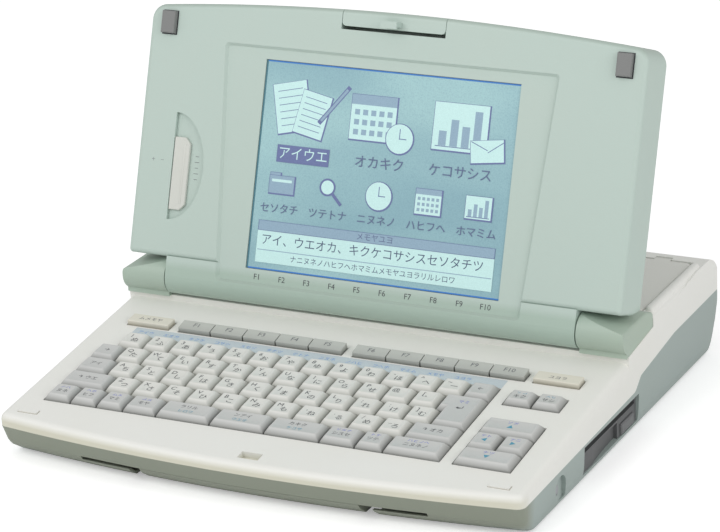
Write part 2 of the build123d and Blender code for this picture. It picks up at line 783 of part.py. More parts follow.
niche_fixing += rod(wall_x - niche_backing + 1, screw_seat + 0.5, *niche_screw, screw_radius)
niche_hole = rod(screw_seat, wall_x + 9, *niche_screw, screw_head + 0.3)
niche_hole += rod(wall_x - niche_backing - 1, screw_seat + 1, *niche_screw, screw_radius + 0.1)

# ---------------------------------------------------------------- boards
board_z = floor_top + 6.0
main_x = (-168.0, 40.0)
main_y = (-70.0, 40.0)
supply_x = (-130.0, -40.0)
supply_y = (66.0, 140.0)


def board(x_range, y_range, lumps):
    """A circuit board with the blocks of its larger components."""
    shape = block(*x_range, *y_range, board_z, board_z + board_thickness)
    for x0, x1, y0, y1, height in lumps:
        shape += block(x_range[0] + x0, x_range[0] + x1, y_range[0] + y0, y_range[0] + y1,
                       board_z + board_thickness, board_z + board_thickness + height)
    return shape


def standoffs(x_range, y_range):
    """Posts from the floor of the case to the corners of a board."""
    return [post(x, y, floor_top - 1, board_z, post_radius)
            for x in (x_range[0] + 5, x_range[1] - 5) for y in (y_range[0] + 5, y_range[1] - 5)]


nodes["main_board"] = board(main_x, main_y, [(30, 66, 30, 44, 3.5), (30, 66, 56, 70, 3.5),
                                             (90, 112, 30, 52, 3.0), (130, 168, 60, 74, 3.5),
                                             (130, 168, 30, 44, 3.5)])
nodes["power_supply_board"] = board(supply_x, supply_y, [(14, 44, 16, 46, 16.0), (56, 72, 20, 36, 14.0),
                                                         (56, 88, 46, 50, 15.0)])

# ---------------------------------------------------------------- feet and case screws
feet = []
foot_seats = []
for y in (foot_front, foot_rear):
    foot = post(foot_x, y, 0, foot_height + foot_seat, foot_radius)
    foot = fillet(foot.edges().group_by(Axis.Z)[0], 0.8)
    feet.append(pair(foot))
    foot_seats.append(pair(post(foot_x, y, 0, foot_height + foot_seat, foot_radius + 0.1)))
nodes["feet"] = group(feet)

screws = []
screw_holes = []
upper_bosses = []
lower_bosses = []
for x, y in screw_places:
    joint_z = seam_z(y)
    head_top = foot_height + 1 + screw_head_height
    screw = post(x, y, foot_height + 1, head_top, screw_head)
    screw += post(x, y, head_top - 0.5, joint_z + screw_reach, screw_radius)
    screws.append(pair(screw))
    screw_holes.append(pair(post(x, y, 0, head_top, screw_head + 0.3)
                            + post(x, y, 0, joint_z + screw_reach + 1, screw_radius + 0.1)))
    lower_bosses.append(pair(post(x, y, floor_top - 1, tall, boss_radius)))
    upper_bosses.append(pair(post(x, y, 0, tall, boss_radius)))
nodes["case_screws"] = group(screws + [niche_fixing])

# ---------------------------------------------------------------- hinge brackets, pins, covers
bracket_x = cover_inner + shell + 1.5
lug = Pos(bracket_x + bracket_width / 2, hinge_back, hinge_from_deck) * Rot(0, 90, 0) * Cylinder(
    bracket_radius, bracket_width)
lug += block(bracket_x, bracket_x + bracket_width, hinge_back - 3, hinge_back + 3,
             ledge_height, hinge_from_deck)
lug += block(bracket_x, bracket_x + bracket_width, hinge_back - 3, hinge_back + 26,
             ledge_height, ledge_height + bracket_foot)
lug += rod(barrel_half - pin_reach, bracket_x + 1, hinge_back, hinge_from_deck, pin_radius)
nodes["hinge_brackets"] = on_deck(pair(lug))


def hinge_cover(inset):
    """The cover over one hinge bracket, under the foot of the open lid, sloping outward."""
    radius = cover_radius - inset
    top = Vector(hinge.Y + radius * sin(lean), hinge.Z + radius * cos(lean))
    rear = cover_rear - inset - 0.2
    flat = cover_flat_z - inset
    flat_front = top.X + (top.Y - flat) / tan(lean)
    front = hinge.Y - 0.5 * cover_radius
    side = Pos(hinge.Y, hinge.Z) * Circle(radius)
    side += make_face(Polyline((hinge.Y, hinge.Z), (top.X, top.Y), (flat_front, flat),
                               (cover_flat_rear, flat), (rear, cover_rear_z - inset), (rear, 0),
                               (front + inset, 0), (front + inset, hinge.Z), (hinge.Y, hinge.Z)))
    inner = cover_inner + inset
    outer = cover_outer - inset
    slope = make_face(Polyline((inner, 0), (outer, 0), (outer, cover_outer_z - inset),
                               (inner, hinge.Z + cover_radius - inset), (inner, 0)))
    body = Pos((inner + outer) / 2, 0, 0) * across(side, (outer - inner) / 2)
    return body & extrude(Plane.XZ * slope, 2 * tall, both=True)


cover_solid = hinge_cover(0)
end_edges = [edge for edge in cover_solid.faces().sort_by(Axis.X)[-1].edges()
             if edge.center().Z > hinge.Z and edge.center().Y < cover_rear - 3]
cover_solid = fillet(end_edges, cover_end_radius)
above_shelf = on_deck(block(-case_width, case_width, 0, case_depth, ledge_height, tall))
cover_shell = (cover_solid - hinge_cover(shell) - rod(0, cover_inner + 2 * shell, hinge.Y, hinge.Z,
                                                      pin_radius + part_gap)) & above_shelf
nodes["hinge_cover_right"] = cover_shell
nodes["hinge_cover_left"] = mirror(cover_shell, Plane.YZ)

# ---------------------------------------------------------------- printer cover and its bay
axis_z = rear_height + cover_thickness / 2
strip_y = cover_axis_y - strip_ahead
seat_half = cover_width / 2 + cover_side_gap
cover_seat = block(-seat_half, seat_half, cover_rear - 0.1, strip_y, rear_height, cover_top_z + 9)
bead_x = seat_half + 0.2
bead = block(bead_x, bead_x + bead_width, cover_front + 2, cover_front + 2 + bead_length,
             rear_height - 1, cover_top_z + bead_height)
bead = fillet(bead.edges().filter_by(Axis.Z), bead_radius)
bead = fillet(bead.faces().sort_by(Axis.Z)[-1].edges(), bead_radius - 0.2)
paper_y = strip_y + (strip_depth - paper_slot_depth) / 2
paper_slot = block(-paper_slot_length / 2, paper_slot_length / 2, paper_y, paper_y + paper_slot_depth,
                   rear_height - 2 * shell, cover_top_z + 1)
bay = block(-bay_width / 2, bay_width / 2, bay_front, bay_rear, rear_height - 2 * shell, cover_top_z)
plate_rear_y = cover_axis_y - cover_rear_gap
cover = block(-cover_width / 2, cover_width / 2, cover_front, plate_rear_y, rear_height, cover_top_z)
cover = fillet(cover.edges().filter_by(Axis.Z), 4.0)
cover = fillet(cover.faces().sort_by(Axis.Z)[-1].edges(), 1.5)
cover -= block(-cover_width / 2 + cover_lip, cover_width / 2 - cover_lip, cover_front + cover_lip,
               plate_rear_y - cover_lip, rear_height - 1, cover_top_z - cover_skin)
knuckle_radius = cover_thickness / 2 - 0.2
knuckle = rod(knuckle_x - knuckle_width / 2, knuckle_x + knuckle_width / 2, cover_axis_y, axis_z,
              knuckle_radius)
knuckle += block(knuckle_x - knuckle_width / 2, knuckle_x + knuckle_width / 2, plate_rear_y - 1,
                 cover_axis_y, axis_z - knuckle_radius, axis_z + knuckle_radius)
knuckle += rod(knuckle_x - knuckle_width / 2 - cover_pin_reach,
               knuckle_x + knuckle_width / 2 + cover_pin_reach, cover_axis_y, axis_z, knuckle_pin_radius)
nodes["printer_cover"] = cover + pair(knuckle)
pocket = pair(block(knuckle_x - knuckle_width / 2 - part_gap, knuckle_x + knuckle_width / 2 + part_gap,
                    strip_y - 1, cover_axis_y + cover_thickness / 2 + part_gap, rear_height,
                    cover_top_z + 1))

# ---------------------------------------------------------------- printer
side_x = frame_width / 2
frame_rear = bay_rear - 2
frame_front = belt_y - 8
side_plate = block(side_x - frame_plate, side_x, frame_front, frame_rear, frame_base, platen_z + 9)
side_plate -= rod(0, case_width, platen_y, platen_z, shaft_radius + shaft_clearance)
side_plate -= rod(0, case_width, rail_y, rail_z, rail_radius)
frame = block(-side_x, side_x, frame_front, frame_rear, frame_base, frame_base + frame_plate)
nodes["printer_frame"] = frame + pair(side_plate)
frame_posts = pair(Part() + [post(side_x - 10, y, floor_top - 1, frame_base, frame_post + 1)
                             for y in (frame_front + 8, frame_rear - 8)])

roller_half = platen_length / 2
nodes["platen_roller"] = rod(-roller_half, roller_half, platen_y, platen_z, platen_radius) \
    - rod(-case_width, case_width, platen_y, platen_z, shaft_radius)
shaft_end = side_x + gear_side_gap + gear_width
nodes["platen_shaft"] = rod(-side_x - 1.5, shaft_end, platen_y, platen_z, shaft_radius)


def gear(radius, teeth):
    """A spur gear in the Y-Z plane, from X = 0 to its width."""
    pitch_angle = 360.0 / teeth
    root = radius - tooth_height
    tooth = make_face(Polyline((root - 0.5, -0.9), (radius, -0.5), (radius, 0.5), (root - 0.5, 0.9),
                               (root - 0.5, -0.9)))
    face = Circle(root)
    face += [Rot(0, 0, i * pitch_angle) * tooth for i in range(teeth)]
    return extrude(Plane.YZ * face, gear_width)


pinion_radius = gear_radius * pinion_teeth / gear_teeth
gear_x = side_x + gear_side_gap
nodes["platen_gear"] = Pos(gear_x, platen_y, platen_z) * gear(gear_radius, gear_teeth) \
    - rod(0, case_width, platen_y, platen_z, shaft_radius)
pinion_y = platen_y - gear_radius - pinion_radius - 0.3
nodes["motor_pinion"] = Pos(gear_x, pinion_y, platen_z) * gear(pinion_radius, pinion_teeth) \
    + rod(side_x - 9, gear_x + 1, pinion_y, platen_z, motor_shaft_radius)
motor_hole = rod(side_x - frame_plate - 1, side_x + 1, pinion_y, platen_z, motor_shaft_radius + 0.05)
nodes["printer_frame"] -= motor_hole
motor = rod(side_x - frame_plate - motor_length, side_x - frame_plate, pinion_y, platen_z, 8.0)
motor -= rod(side_x - 10, side_x, pinion_y, platen_z, motor_shaft_radius + 0.05)
nodes["feed_motor"] = motor

nodes["carriage_rail"] = rod(-side_x, side_x, rail_y, rail_z, rail_radius)
carriage = block(-carriage_width / 2, carriage_width / 2, rail_y - 10, rail_y + carriage_depth - 10,
                 rail_z - 7, rail_z - 7 + carriage_height)
carriage -= rod(-case_width, case_width, rail_y, rail_z, rail_radius + carriage_clearance)
nodes["print_carriage"] = carriage
ribbon_z = rail_z - 7 + carriage_height
nodes["ribbon_cassette"] = fillet(
    block(-ribbon_width / 2, ribbon_width / 2, rail_y - 12, rail_y - 12 + ribbon_depth,
          ribbon_z, ribbon_z + ribbon_height).edges().filter_by(Axis.Z), 5.0)
belt_z = frame_base + frame_plate + belt_above_plate
pulley_x = side_x - 22
outer_race = pulley_radius + belt_thickness


def race(radius):
    """The outline of a loop round the two belt pulleys."""
    return (Pos(0, belt_y) * Rectangle(2 * pulley_x, 2 * radius)
            + Pos(pulley_x, belt_y) * Circle(radius) + Pos(-pulley_x, belt_y) * Circle(radius))


nodes["carriage_belt"] = Pos(0, 0, belt_z) * extrude(race(outer_race) - race(pulley_radius), belt_width)
base_top = frame_base + frame_plate
nodes["carriage_motor"] = post(pulley_x, belt_y, base_top, belt_z, 5.0) \
    + post(pulley_x, belt_y, belt_z - 0.5, belt_z + belt_width, pulley_radius)
nodes["printer_frame"] += post(-pulley_x, belt_y, base_top - 0.5, belt_z, 3.0) \
    + post(-pulley_x, belt_y, belt_z, belt_z + belt_width, pulley_radius - 0.05)

# ---------------------------------------------------------------- lower case
lower += (Part() + lower_bosses) & inside & under
lower += standoffs(main_x, main_y) + standoffs(supply_x, supply_y) + [frame_posts]
lower += guides
lower += (switch_box & outside & under)
lower += (niche_box & outside & under)
lower -= drive_opening
lower -= [handle_mouth, slits, niche, niche_hole]
lower -= switch_hollow
lower -= switch_slot
lower -= inlet_hole
lower -= foot_seats
lower -= screw_holes
nodes["lower_case"] = lower

# ---------------------------------------------------------------- upper case
pads = pair(on_deck(Pos(bumper_x, hinge_back - bumper_height, 0) * Box(pad_size[0], pad_size[1],
                                                                      2 * pad_height)))
hook_h = lid_top - hook_below_top
catch_place = Pos(latch_x, hinge_back - hook_h + catch_shift, 0)
catch = on_deck(catch_place * Box(catch_width, catch_depth, 2 * catch_floor))
catch_cup = block(-catch_width / 2 - catch_wall, catch_width / 2 + catch_wall,
                  -catch_depth / 2 - catch_wall, catch_depth / 2 + catch_wall,
                  -catch_floor - catch_wall, -shell / 2)
upper += (Part() + upper_bosses) & inside
upper -= under
upper -= openings
upper += on_deck(Part() + deck_posts)
upper += [pads, on_deck(catch_place * catch_cup)]
upper -= cover_seat
upper += pair(bead)
upper -= [catch, bay, paper_slot, pocket]
upper -= pair(rod(knuckle_x - knuckle_width / 2 - cover_pin_reach - part_gap,
                  knuckle_x + knuckle_width / 2 + cover_pin_reach + part_gap, cover_axis_y, axis_z,
                  knuckle_pin_radius + pin_clearance))
upper -= screw_holes
nodes["upper_case"] = upper

# ---------------------------------------------------------------- lid shells


def lid_outline(half, bottom, corner, bow, inset):
    """The lid seen from the front."""
    edges = Polyline((-half, corner), (-half, bottom), (half, bottom), (half, corner))
    edges += ThreePointArc((half, corner), (0, corner + bow), (-half, corner))
    face = make_face(edges)
    high = face.vertices().sort_by(Axis.Y)[2:]
    face = fillet(high, lid_corner_radius - inset)
    low = face.vertices().sort_by(Axis.Y)[:2]
    return fillet(low, max(lid_foot_radius - inset, 0.5))


def lid_solid(inset):
    """The lid's block, with its back domed."""
    half = lid_width / 2 - inset
    bottom = lid_bottom + inset
    corner = lid_corner_height - inset
    front = lid_front_d - inset
    back = lid_back_d + inset - lid_bulge
    wide = half + lid_draft * (lid_thickness + lid_bulge) / lid_thickness
    body = loft([Pos(0, 0, back) * lid_outline(wide, bottom, corner, lid_bow, inset),
                 Pos(0, 0, front) * lid_outline(half, bottom, corner, lid_bow, inset)], ruled=True)
    low = back + lid_bulge
    section = Polyline((wide + 5, low), (wide + 5, front + 5), (-wide - 5, front + 5), (-wide - 5, low))
    section += ThreePointArc((-wide - 5, low), (0, back), (wide + 5, low))
    body &= extrude(Plane.XZ * make_face(section), 2 * lid_top, both=True)
    foot_start = lid_split - 1
    foot_back = bottom + (foot_start - back) * tan(lean)
    foot = make_face(Polyline((bottom, foot_start), (foot_back, back), (foot_back, back - 9),
                              (0, back - 9), (0, foot_start), (bottom, foot_start)))
    return body - across(foot, case_width)


def lid_half(depth_from, depth_to):
    """The slab between two depths ahead of the hinge axis."""
    return block(-case_width, case_width, -case_depth, case_depth, depth_from, depth_to)


lid_block = lid_solid(0)
front_edges = [edge for edge in lid_block.faces().sort_by(Axis.Z)[-1].edges()
               if edge.center().Y > lid_bottom + lid_foot_radius + 1]
lid_block = fillet(front_edges, lid_edge_radius)
lid_hollow = lid_solid(shell)
lid_shell = lid_block - lid_hollow
front_half = lid_shell & lid_half(lid_split, 99)
back_half = lid_shell & lid_half(-99, lid_split)

barrel = rod(-barrel_half, barrel_half, 0, 0, barrel_radius)
tongue = block(-barrel_half, barrel_half, 0, lid_bottom + 0.5, lid_split, lid_front_d)
bore_half = barrel_half - barrel_end
barrel_hollow = rod(-bore_half, bore_half, 0, 0, barrel_radius - barrel_wall)
pin_bore = rod(-case_width, case_width, 0, 0, pin_radius + pin_clearance)

panel_floor = lid_front_d - panel_depth


def panel_outline(grow):
    """The area round the screen, wider at its top."""
    top = panel_half_top + grow
    low = panel_half_bottom + grow
    face = make_face(Polyline((-low, panel_bottom - grow), (low, panel_bottom - grow),
                              (top, panel_top + grow), (-top, panel_top + grow),
                              (-low, panel_bottom - grow)))
    return fillet(face.vertices(), panel_radius)


panel_cut = loft([Pos(0, 0, panel_floor) * panel_outline(-panel_slope),
                  Pos(0, 0, lid_front_d + 1) * panel_outline(1.2)], ruled=True)
panel_backing = block(-panel_half_top - 4, panel_half_top + 4, lid_bottom + 0.5, panel_top + 6,
                      panel_floor - shell, lid_front_d - shell + 0.5)
screen_mid_h = screen_bottom + screen_height / 2
window = Pos(screen_offset, screen_mid_h, 0) * Box(screen_width, screen_height, 4 * lid_thickness)
window &= lid_half(0, 99)
module_front = panel_floor - shell


def screen_module(gap):
    """The display module, grown by a gap on every side but its front."""
    low = screen_bottom - 0.3 - gap
    high = screen_bottom + screen_height + module_margin + gap
    half = screen_width / 2 + module_margin + gap
    return block(screen_offset - half, screen_offset + half, low, high,
                 module_front - module_thickness - gap, module_front)


inverter_posts = [
    Pos(inverter_x + inverter_width / 2, h, lid_front_d - shell - inverter_gap / 2) * Cylinder(
        post_radius, inverter_gap)
    for h in (inverter_h + 8, inverter_h + inverter_length - 8)]


def recess_outline(offset):
    """Half an ellipse with its straight side to the left."""
    oval = Ellipse(recess_width - offset, recess_length / 2 - offset)
    oval &= Pos(recess_width / 2, 0) * Rectangle(recess_width, recess_length)
    return Pos(recess_left, recess_centre) * oval


recess_floor = lid_front_d - recess_depth
recess = Pos(0, 0, recess_floor) * extrude(recess_outline(0), 2 * recess_depth)
recess_backing = Pos(0, 0, recess_floor - shell) * extrude(recess_outline(-2.0), recess_depth + 0.5)
slider_x = recess_left + slider_width / 2 + 0.4
slider_slot = Pos(slider_x, slider_centre + slider_travel / 2, recess_floor) * Box(
    3 + 2 * part_gap, slider_stem + slider_travel + 2 * part_gap, 4 * shell)
bumper_pockets = pair(Pos(bumper_x, bumper_height, lid_front_d) * Box(
    bumper_size[0] + 0.2, bumper_size[1] + 0.2, 2 * bumper_seat))
latch_low = lid_top - latch_height
latch_space = block(latch_x - latch_width / 2 - latch_gap, latch_x + latch_width / 2 + latch_gap,
                    latch_low - latch_travel - latch_gap, lid_top + 9,
                    lid_front_d - latch_depth - latch_gap, lid_front_d + 9)
latch_room = block(latch_x - latch_width / 2 - latch_gap - shell,
                   latch_x + latch_width / 2 + latch_gap + shell,
                   latch_low - latch_travel - latch_gap - shell, lid_top + 9,
                   lid_front_d - latch_depth - latch_gap - shell, lid_front_d + 9)

lid_front = front_half + ((panel_backing + recess_backing) & lid_block)
lid_front += barrel + tongue
lid_front += latch_room & lid_block & lid_half(lid_split, 99)
lid_front -= [barrel_hollow, pin_bore, panel_cut, window, recess, slider_slot, bumper_pockets,
              latch_space, screen_module(part_gap)]
lid_front += inverter_posts
nodes["lid_front"] = on_lid(lid_front)
lid_back = back_half + (latch_room & lid_block & lid_half(-99, lid_split)) - latch_space
nodes["lid_back"] = on_lid(lid_back)

# ---------------------------------------------------------------- on and in the lid
glass_front = panel_floor - glass_recess
glass = Pos(screen_offset, screen_mid_h, (glass_front + module_front) / 2) * Box(
    screen_width - 2 * glass_gap, screen_height - 2 * glass_gap, glass_front - module_front)
nodes["lcd_window"] = on_lid(glass)
nodes["lcd_panel"] = on_lid(screen_module(0))
inverter_top = lid_front_d - shell - inverter_gap
inverter = block(inverter_x, inverter_x + inverter_width, inverter_h, inverter_h + inverter_length,
                 inverter_top - board_thickness, inverter_top)
inverter += block(inverter_x + 6, inverter_x + inverter_width - 6, inverter_h + 24, inverter_h + 44,
                  inverter_top - 12, inverter_top - board_thickness)
nodes["inverter_board"] = on_lid(inverter)

bumper = Pos(bumper_x, bumper_height, lid_front_d + (bumper_proud - bumper_seat) / 2) * Box(
    bumper_size[0], bumper_size[1], bumper_proud + bumper_seat)
bumper = fillet(bumper.faces().sort_by(Axis.Z)[-1].edges(), 1.2)
nodes["lid_bumpers"] = on_lid(pair(bumper))

slider = Pos(slider_x, slider_centre, recess_floor + 0.3 + slider_height / 2) * Box(
    slider_width, slider_length, slider_height)
slider = chamfer(slider.edges().filter_by(Axis.Z).group_by(Axis.X)[-1], 4.0)
slider = fillet(slider.faces().sort_by(Axis.Z)[-1].edges(), 0.8)
slider += Pos(slider_x, slider_centre, recess_floor - shell) * Box(3, slider_stem, 2 * shell + 2)
nodes["display_slider"] = on_lid(slider)

flap = latch_space & lid_block
flap &= block(latch_x - latch_width / 2, latch_x + latch_width / 2, latch_low, lid_top + 9,
              lid_front_d - latch_depth, lid_front_d + 9)
flap = fillet(flap.edges().filter_by(Axis.Z).group_by(Axis.Y)[0], latch_corner)
hook = Pos(latch_x, hook_h, lid_front_d + hook_reach / 2 - 1) * Box(
    hook_width, hook_thickness, hook_reach + 2)
hook += Pos(latch_x, hook_h - hook_thickness / 2 - hook_nose / 2, lid_front_d + hook_reach - 1) * Box(
    hook_width, hook_nose + 0.2, 2)
nodes["lid_latch"] = on_lid(flap + hook)

# ---------------------------------------------------------------- write the parts
os.makedirs("parts", exist_ok=True)
for name, shape in nodes.items():
    export_step(shape, f"parts/{name}.step")
print(len(nodes), "parts; hinge axis at", hinge)
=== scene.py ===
# %% [markdown]
# # An electronic word processor
# The machine is a keyboard base with a lid that holds a liquid-crystal screen. Its solid parts
# come ready-made in the frame. This lesson gives them their plastics, models the sculpted key
# tops, prints the legends and draws a plain menu on the screen.

# %% Load the frame
import bpy
import json
from math import atan2, cos, pi, radians, sin
from mathutils import Matrix, Vector

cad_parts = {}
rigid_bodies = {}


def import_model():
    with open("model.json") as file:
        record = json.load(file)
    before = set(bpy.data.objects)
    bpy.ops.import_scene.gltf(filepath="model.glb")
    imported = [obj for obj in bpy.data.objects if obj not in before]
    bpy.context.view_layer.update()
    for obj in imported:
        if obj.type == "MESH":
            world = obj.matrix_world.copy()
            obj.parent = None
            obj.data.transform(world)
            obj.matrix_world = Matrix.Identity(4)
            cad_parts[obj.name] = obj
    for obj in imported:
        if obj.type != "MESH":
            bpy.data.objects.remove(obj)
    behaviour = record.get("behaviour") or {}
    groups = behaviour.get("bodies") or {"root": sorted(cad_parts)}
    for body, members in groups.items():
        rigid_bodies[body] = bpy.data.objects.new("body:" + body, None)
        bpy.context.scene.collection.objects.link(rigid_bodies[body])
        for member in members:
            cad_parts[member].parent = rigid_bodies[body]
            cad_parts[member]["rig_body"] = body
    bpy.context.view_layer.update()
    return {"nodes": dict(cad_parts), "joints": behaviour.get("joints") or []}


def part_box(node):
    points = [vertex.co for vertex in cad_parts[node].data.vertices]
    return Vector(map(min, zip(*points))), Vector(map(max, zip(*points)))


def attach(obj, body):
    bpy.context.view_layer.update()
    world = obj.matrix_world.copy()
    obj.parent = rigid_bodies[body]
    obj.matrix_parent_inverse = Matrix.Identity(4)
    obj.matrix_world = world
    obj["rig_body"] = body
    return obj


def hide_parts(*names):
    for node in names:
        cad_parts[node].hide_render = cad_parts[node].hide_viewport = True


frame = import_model()
nodes = frame["nodes"]
bpy.ops.object.select_all(action="DESELECT")
mm = 0.001
print("nodes in the frame:", len(nodes))

# %% [markdown]
# ## Two leaning planes
# The keys stand on a deck that rises to the back, and the lid leans back on its hinge. Each plane
# has its own axes here, so a key or a letter is laid out flat in millimetres and then put in place
# by one matrix.

# %% Planes of the deck and of the lid
deck_tilt = radians(6.4)
deck_origin = Vector((0, -143.5, 34.7)) * mm
on_deck = Matrix.Translation(deck_origin) @ Matrix.Rotation(deck_tilt, 4, "X")
lid_lean = radians(19.2)
hinge_joint = next(joint for joint in frame["joints"] if joint["name"] == "lid_hinge")
hinge = Vector(hinge_joint["pos_m"])
on_lid = Matrix.Translation(hinge) @ Matrix.Rotation(pi / 2 - lid_lean, 4, "X")
print("hinge axis at", [round(value, 4) for value in hinge])

# %% [markdown]
# ## The camera
# The photograph was taken from the front right with a long lens. The place and the three turns
# were worked out from the keyboard, the screen and the edges of the case.

# %% Camera
camera_place = (0.8796, -1.7332, 0.8199)
camera_yaw = 0.4700
camera_down = 0.3546
camera_roll = -0.0457
look = Vector((-sin(camera_yaw) * cos(camera_down), cos(camera_yaw) * cos(camera_down), -sin(camera_down)))
level = Vector((cos(camera_yaw), sin(camera_yaw), 0))
upright = level.cross(look)
right = cos(camera_roll) * level + sin(camera_roll) * upright
up = -sin(camera_roll) * level + cos(camera_roll) * upright
lens_data = bpy.data.cameras.new("camera")
lens_data.lens = 153.6
lens_data.sensor_width = 36
lens_data.clip_end = 50
camera = bpy.data.objects.new("camera", lens_data)
bpy.context.scene.collection.objects.link(camera)
turn = Matrix((right, up, -look)).transposed().to_4x4()
camera.matrix_world = Matrix.Translation(camera_place) @ turn
bpy.context.scene.camera = camera

# %% [markdown]
# ## Colours as they are seen
# Paint colours are easiest to read off as the numbers from 0 to 255 that a screen uses. The shader
# wants linear values, so one small function turns the one into the other.


# %% Colour helper
def paint(red, green, blue):
    linear = []
    for value in (red, green, blue):
        share = value / 255
        linear.append(share / 12.92 if share <= 0.04045 else ((share + 0.055) / 1.055) ** 2.4)
    return (*linear, 1.0)


# %% [markdown]
# ## Moulded plastic
# Every casing is injection-moulded plastic with a fine spark-eroded grain. The grain is a small
# bump from a dense noise, the tone wanders a little, and old white plastic is yellower at edges
# that hands and light reach. Object coordinates keep the grain at its real size.


# %% Node helpers
def new_material(name):
    material = bpy.data.materials.new(name)
    material.use_nodes = True
    material.node_tree.nodes.clear()
    return material


def add_node(material, kind, **values):
    node = material.node_tree.nodes.new(kind)
    for key, value in values.items():
        if key in node.inputs:
            node.inputs[key].default_value = value
        else:
            setattr(node, key, value)
    return node


def wire(material, source, target):
    material.node_tree.links.new(source, target)


def finish_shader(material, **values):
    shader = add_node(material, "ShaderNodeBsdfPrincipled")
    for key, value in values.items():
        shader.inputs[key].default_value = value
    output = add_node(material, "ShaderNodeOutputMaterial")
    wire(material, shader.outputs["BSDF"], output.inputs["Surface"])
    return shader


# %% The moulded plastic
def moulded(name, colour, aged, roughness=0.45, grain=900, depth=0.12, patch=9, spread=0.35):
    """A satin plastic; the second colour is its aged tone, which lies over it in soft patches."""
    material = new_material(name)
    shader = finish_shader(material, **{"Roughness": roughness, "Specular IOR Level": 0.4})
    place = add_node(material, "ShaderNodeTexCoord")
    patches = add_node(material, "ShaderNodeTexNoise", Scale=patch, Detail=4.0, Roughness=0.6)
    wire(material, place.outputs["Object"], patches.inputs["Vector"])
    ramp = add_node(material, "ShaderNodeMapRange")
    ramp.inputs["From Min"].default_value = 0.45
    ramp.inputs["From Max"].default_value = 0.8
    ramp.inputs["To Max"].default_value = spread
    wire(material, patches.outputs["Fac"], ramp.inputs["Value"])
    mix = add_node(material, "ShaderNodeMix", data_type="RGBA")
    mix.inputs["A"].default_value = paint(*colour)
    mix.inputs["B"].default_value = paint(*aged)
    wire(material, ramp.outputs["Result"], mix.inputs["Factor"])
    wire(material, mix.outputs["Result"], shader.inputs["Base Color"])
    dots = add_node(material, "ShaderNodeTexNoise", Scale=grain, Detail=2.0, Roughness=0.5)
    wire(material, place.outputs["Object"], dots.inputs["Vector"])
    bump = add_node(material, "ShaderNodeBump", Strength=depth, Distance=0.0004)
    wire(material, dots.outputs["Fac"], bump.inputs["Height"])
    wire(material, bump.outputs["Normal"], shader.inputs["Normal"])
    return material


def tint_below(material, colour, top, reach, slope=0.0, rise=0.0, front=None, strength=1.0):
    """Lays a tone over a material below a plane, and only ahead of a place if one is given."""
    tree = material.node_tree
    shader = next(node for node in tree.nodes if node.type == "BSDF_PRINCIPLED")
    place = next(node for node in tree.nodes if node.type == "TEX_COORD")
    before = shader.inputs["Base Color"].links[0].from_socket
    split = add_node(material, "ShaderNodeSeparateXYZ")
    wire(material, place.outputs["Object"], split.inputs["Vector"])
    plane = add_node(material, "ShaderNodeMath", operation="MULTIPLY_ADD")
    plane.inputs[1].default_value = -slope
    plane.inputs[2].default_value = -rise
    wire(material, split.outputs["Y"], plane.inputs[0])
    height = add_node(material, "ShaderNodeMath", operation="ADD")
    wire(material, split.outputs["Z"], height.inputs[0])
    wire(material, plane.outputs[0], height.inputs[1])
    fade = add_node(material, "ShaderNodeMapRange")
    fade.inputs["From Min"].default_value = top
    fade.inputs["From Max"].default_value = top - reach
    fade.inputs["To Max"].default_value = strength
    wire(material, height.outputs[0], fade.inputs["Value"])
    share = fade.outputs["Result"]
    if front is not None:
        ahead = add_node(material, "ShaderNodeMapRange")
        ahead.inputs["From Min"].default_value = front
        ahead.inputs["From Max"].default_value = front - 12 * mm
        wire(material, split.outputs["Y"], ahead.inputs["Value"])
        both = add_node(material, "ShaderNodeMath", operation="MULTIPLY")
        wire(material, share, both.inputs[0])
        wire(material, ahead.outputs["Result"], both.inputs[1])
        share = both.outputs[0]
    mix = add_node(material, "ShaderNodeMix", data_type="RGBA")
    mix.inputs["B"].default_value = paint(*colour)
    wire(material, before, mix.inputs["A"])
    wire(material, share, mix.inputs["Factor"])
    wire(material, mix.outputs["Result"], shader.inputs["Base Color"])


def shade_upward(material, colour, strength):
    """Paints shade over the faces of a material that look up, which stands in for the weaker light on them."""
    shader = next(node for node in material.node_tree.nodes if node.type == "BSDF_PRINCIPLED")
    place = next(node for node in material.node_tree.nodes if node.type == "TEX_COORD")
    before = shader.inputs["Base Color"].links[0].from_socket
    split = add_node(material, "ShaderNodeSeparateXYZ")
    wire(material, place.outputs["Normal"], split.inputs["Vector"])
    share = add_node(material, "ShaderNodeMapRange")
    share.inputs["From Min"].default_value = 0.45
    share.inputs["From Max"].default_value = 0.9
    share.inputs["To Max"].default_value = strength
    wire(material, split.outputs["Z"], share.inputs["Value"])
    mix = add_node(material, "ShaderNodeMix", data_type="RGBA")
    mix.inputs["B"].default_value = paint(*colour)
    wire(material, before, mix.inputs["A"])
    wire(material, share.outputs["Result"], mix.inputs["Factor"])
    wire(material, mix.outputs["Result"], shader.inputs["Base Color"])


# %% Plastics of this machine
case_white = moulded("case_white", (233, 233, 228), (226, 225, 216))
deck_slope = sin(deck_tilt) / cos(deck_tilt)
deck_rise = deck_origin.z - deck_origin.y * deck_slope
tint_below(case_white, (210, 208, 191), -1.0 * mm, 4 * mm, deck_slope, deck_rise, -0.158)
case_green = moulded("case_green", (160, 172, 168), (152, 165, 158))
# Painted shade with some yellowing: the green case's low front gets a darker, yellower tone, which stands in
# for the shade on faces that turn down from the light.
tint_below(case_green, (139, 145, 131), 60 * mm, 1 * mm, front=-0.150)
lid_mint = moulded("lid_mint", (184, 200, 192), (188, 199, 189))
# Painted shade: the lid's lower part round the hinge barrel gets a darker tone, which stands in for the weaker
# light there.
tint_below(lid_mint, (168, 187, 175), 0.0845, 5 * mm)
